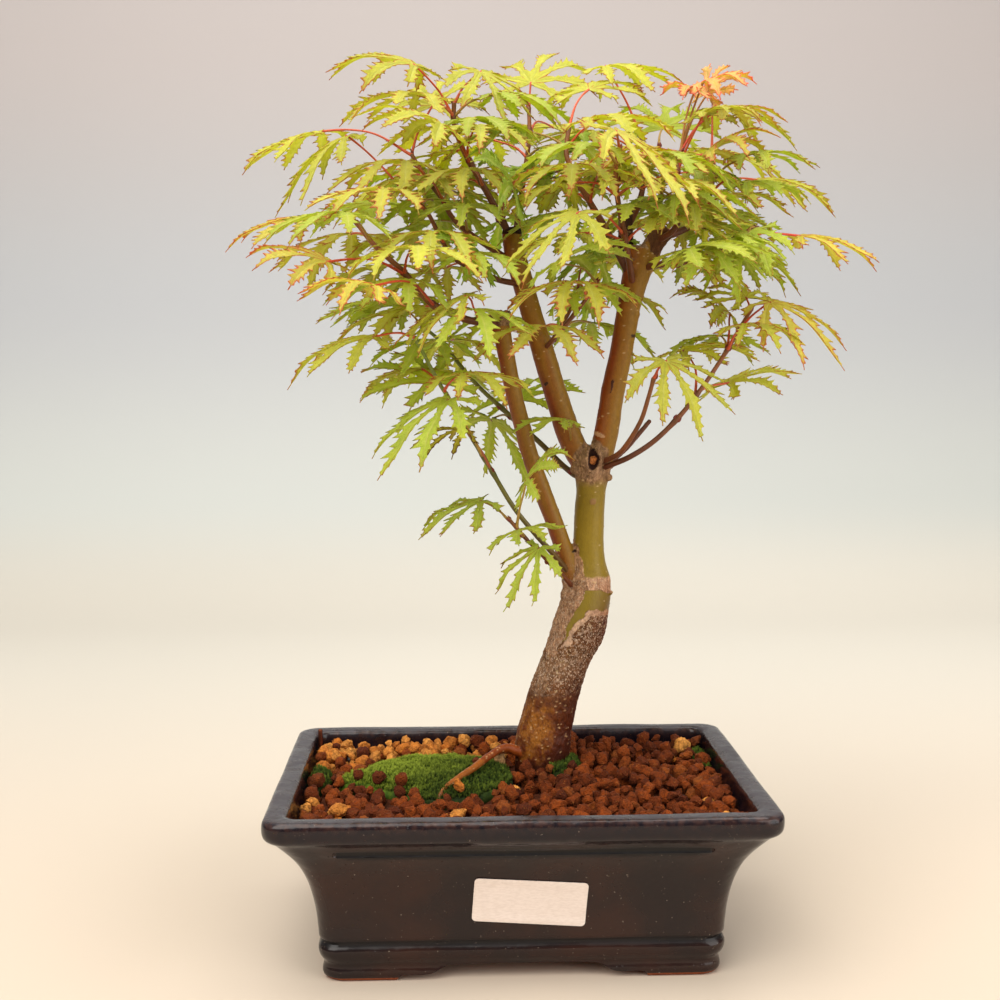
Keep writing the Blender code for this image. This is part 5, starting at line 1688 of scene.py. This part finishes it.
# ---------------------------------------------------------------- studio
CAMERA_SPOT = (-26.2, -567.4, 227.7)      # from the middle of the pot's footprint, in mm
CAMERA_YAW, CAMERA_PITCH, CAMERA_ROLL = 2.0, -4.9, -0.2
LENS = 50.4                       # mm, on a sensor 36 mm wide
LIT_SPOT = (0, 0, 0.2)                    # what the lights point at, in metres


def make_camera():
    data = bpy.data.cameras.new("camera")
    data.lens = LENS
    data.sensor_width = 36.0
    data.clip_start, data.clip_end = 0.01, 20.0
    camera = shown("camera", data)
    camera.location = Vector(CAMERA_SPOT) * MM + Vector(PLANT_SPOT)
    turn = (Matrix.Rotation(math.radians(-CAMERA_YAW), 3, "Z")
            @ Matrix.Rotation(math.radians(90 + CAMERA_PITCH), 3, "X")
            @ Matrix.Rotation(math.radians(CAMERA_ROLL), 3, "Z"))
    camera.rotation_euler = turn.to_euler()
    bpy.context.scene.camera = camera


def make_light(name, spot, size, power, tone):
    """A square soft light that shines on the crown."""
    data = bpy.data.lights.new(name, "AREA")
    data.size = size
    data.energy = power
    data.color = tone
    light = shown(name, data)
    light.location = spot
    light.rotation_euler = (Vector(LIT_SPOT) - Vector(spot)).to_track_quat("-Z", "Y").to_euler()


def sweep_paper():
    """Peach on the floor, grey up the backdrop, with painted shade a little darker on the left and
    high right.
    """
    finish = Finish("sweep_paper", Roughness=0.9, Specular_IOR_Level=0.1)
    across, depth, height = (finish.along(axis) for axis in "XYZ")
    tone = finish.patches(colour(213, 198, 180), colour(218, 213, 201), depth, -0.1, 0.62)
    for patch, low, high in (((209, 212, 207), 0.0, 0.10), ((192, 194, 197), 0.06, 0.34),
                             ((197, 190, 189), 0.32, 0.66)):
        tone = finish.patches(tone, colour(*patch), height, low, high)
    right = finish.times(finish.spread(height, 0.0, 0.10),
                         finish.spread(across, -0.35, 0.45, 0.0, 0.11))
    shade = finish.math("ADD", finish.spread(across, -0.35, 0.45, 0.09, 0.0), right)
    return finish.use(Base_Color=finish.mix(shade, tone, (0.0, 0.0, 0.0)))


def make_stage():
    """A pale floor that curves up into a backdrop, with soft lights round it."""
    bends = np.radians(np.linspace(0, 90, 13))
    profile = [(-1.6, 0.0), *zip(0.7 + 0.5 * np.sin(bends), 0.5 * (1 - np.cos(bends))), (1.2, 3.0)]
    count = len(profile)
    points = [(side, *place) for side in (-3.0, 3.0) for place in profile]
    mesh = bpy.data.meshes.new("sweep")
    mesh.from_pydata(points, [], [(i, i + 1, i + 1 + count, i + count) for i in range(count - 1)])
    mesh.shade_smooth()
    mesh.materials.append(sweep_paper())
    shown("sweep", mesh)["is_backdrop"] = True

    make_light("key", (-0.7, -0.9, 1.2), 1.4, 27.5, (1.0, 0.96, 0.90))
    make_light("fill", (1.1, -0.9, 0.7), 1.4, 17, (1.0, 0.98, 0.95))
    make_light("top", (0.0, 0.1, 1.4), 1.2, 17, (1.0, 0.98, 0.95))
    world = bpy.data.worlds.new("studio")
    world.use_nodes = True
    sky = world.node_tree.nodes["Background"]
    sky.inputs["Color"].default_value = (1.0, 0.965, 0.93, 1.0)
    sky.inputs["Strength"].default_value = 0.17
    bpy.context.scene.world = world
    bpy.context.scene.view_settings.view_transform = "Standard"


def write_sizes():
    corners = [[list(corner) for corner in box] for box in (CAD_BOX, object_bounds())]


make_camera()
make_stage()
make_pot()
make_label()
make_wire()
make_screens()
make_soil_bed()
make_grains()
make_moss()
make_trunk()
STEM_FINISH = young_bark()
make_shoots(STEM_FINISH)
make_leaves(STEM_FINISH)
write_sizes()
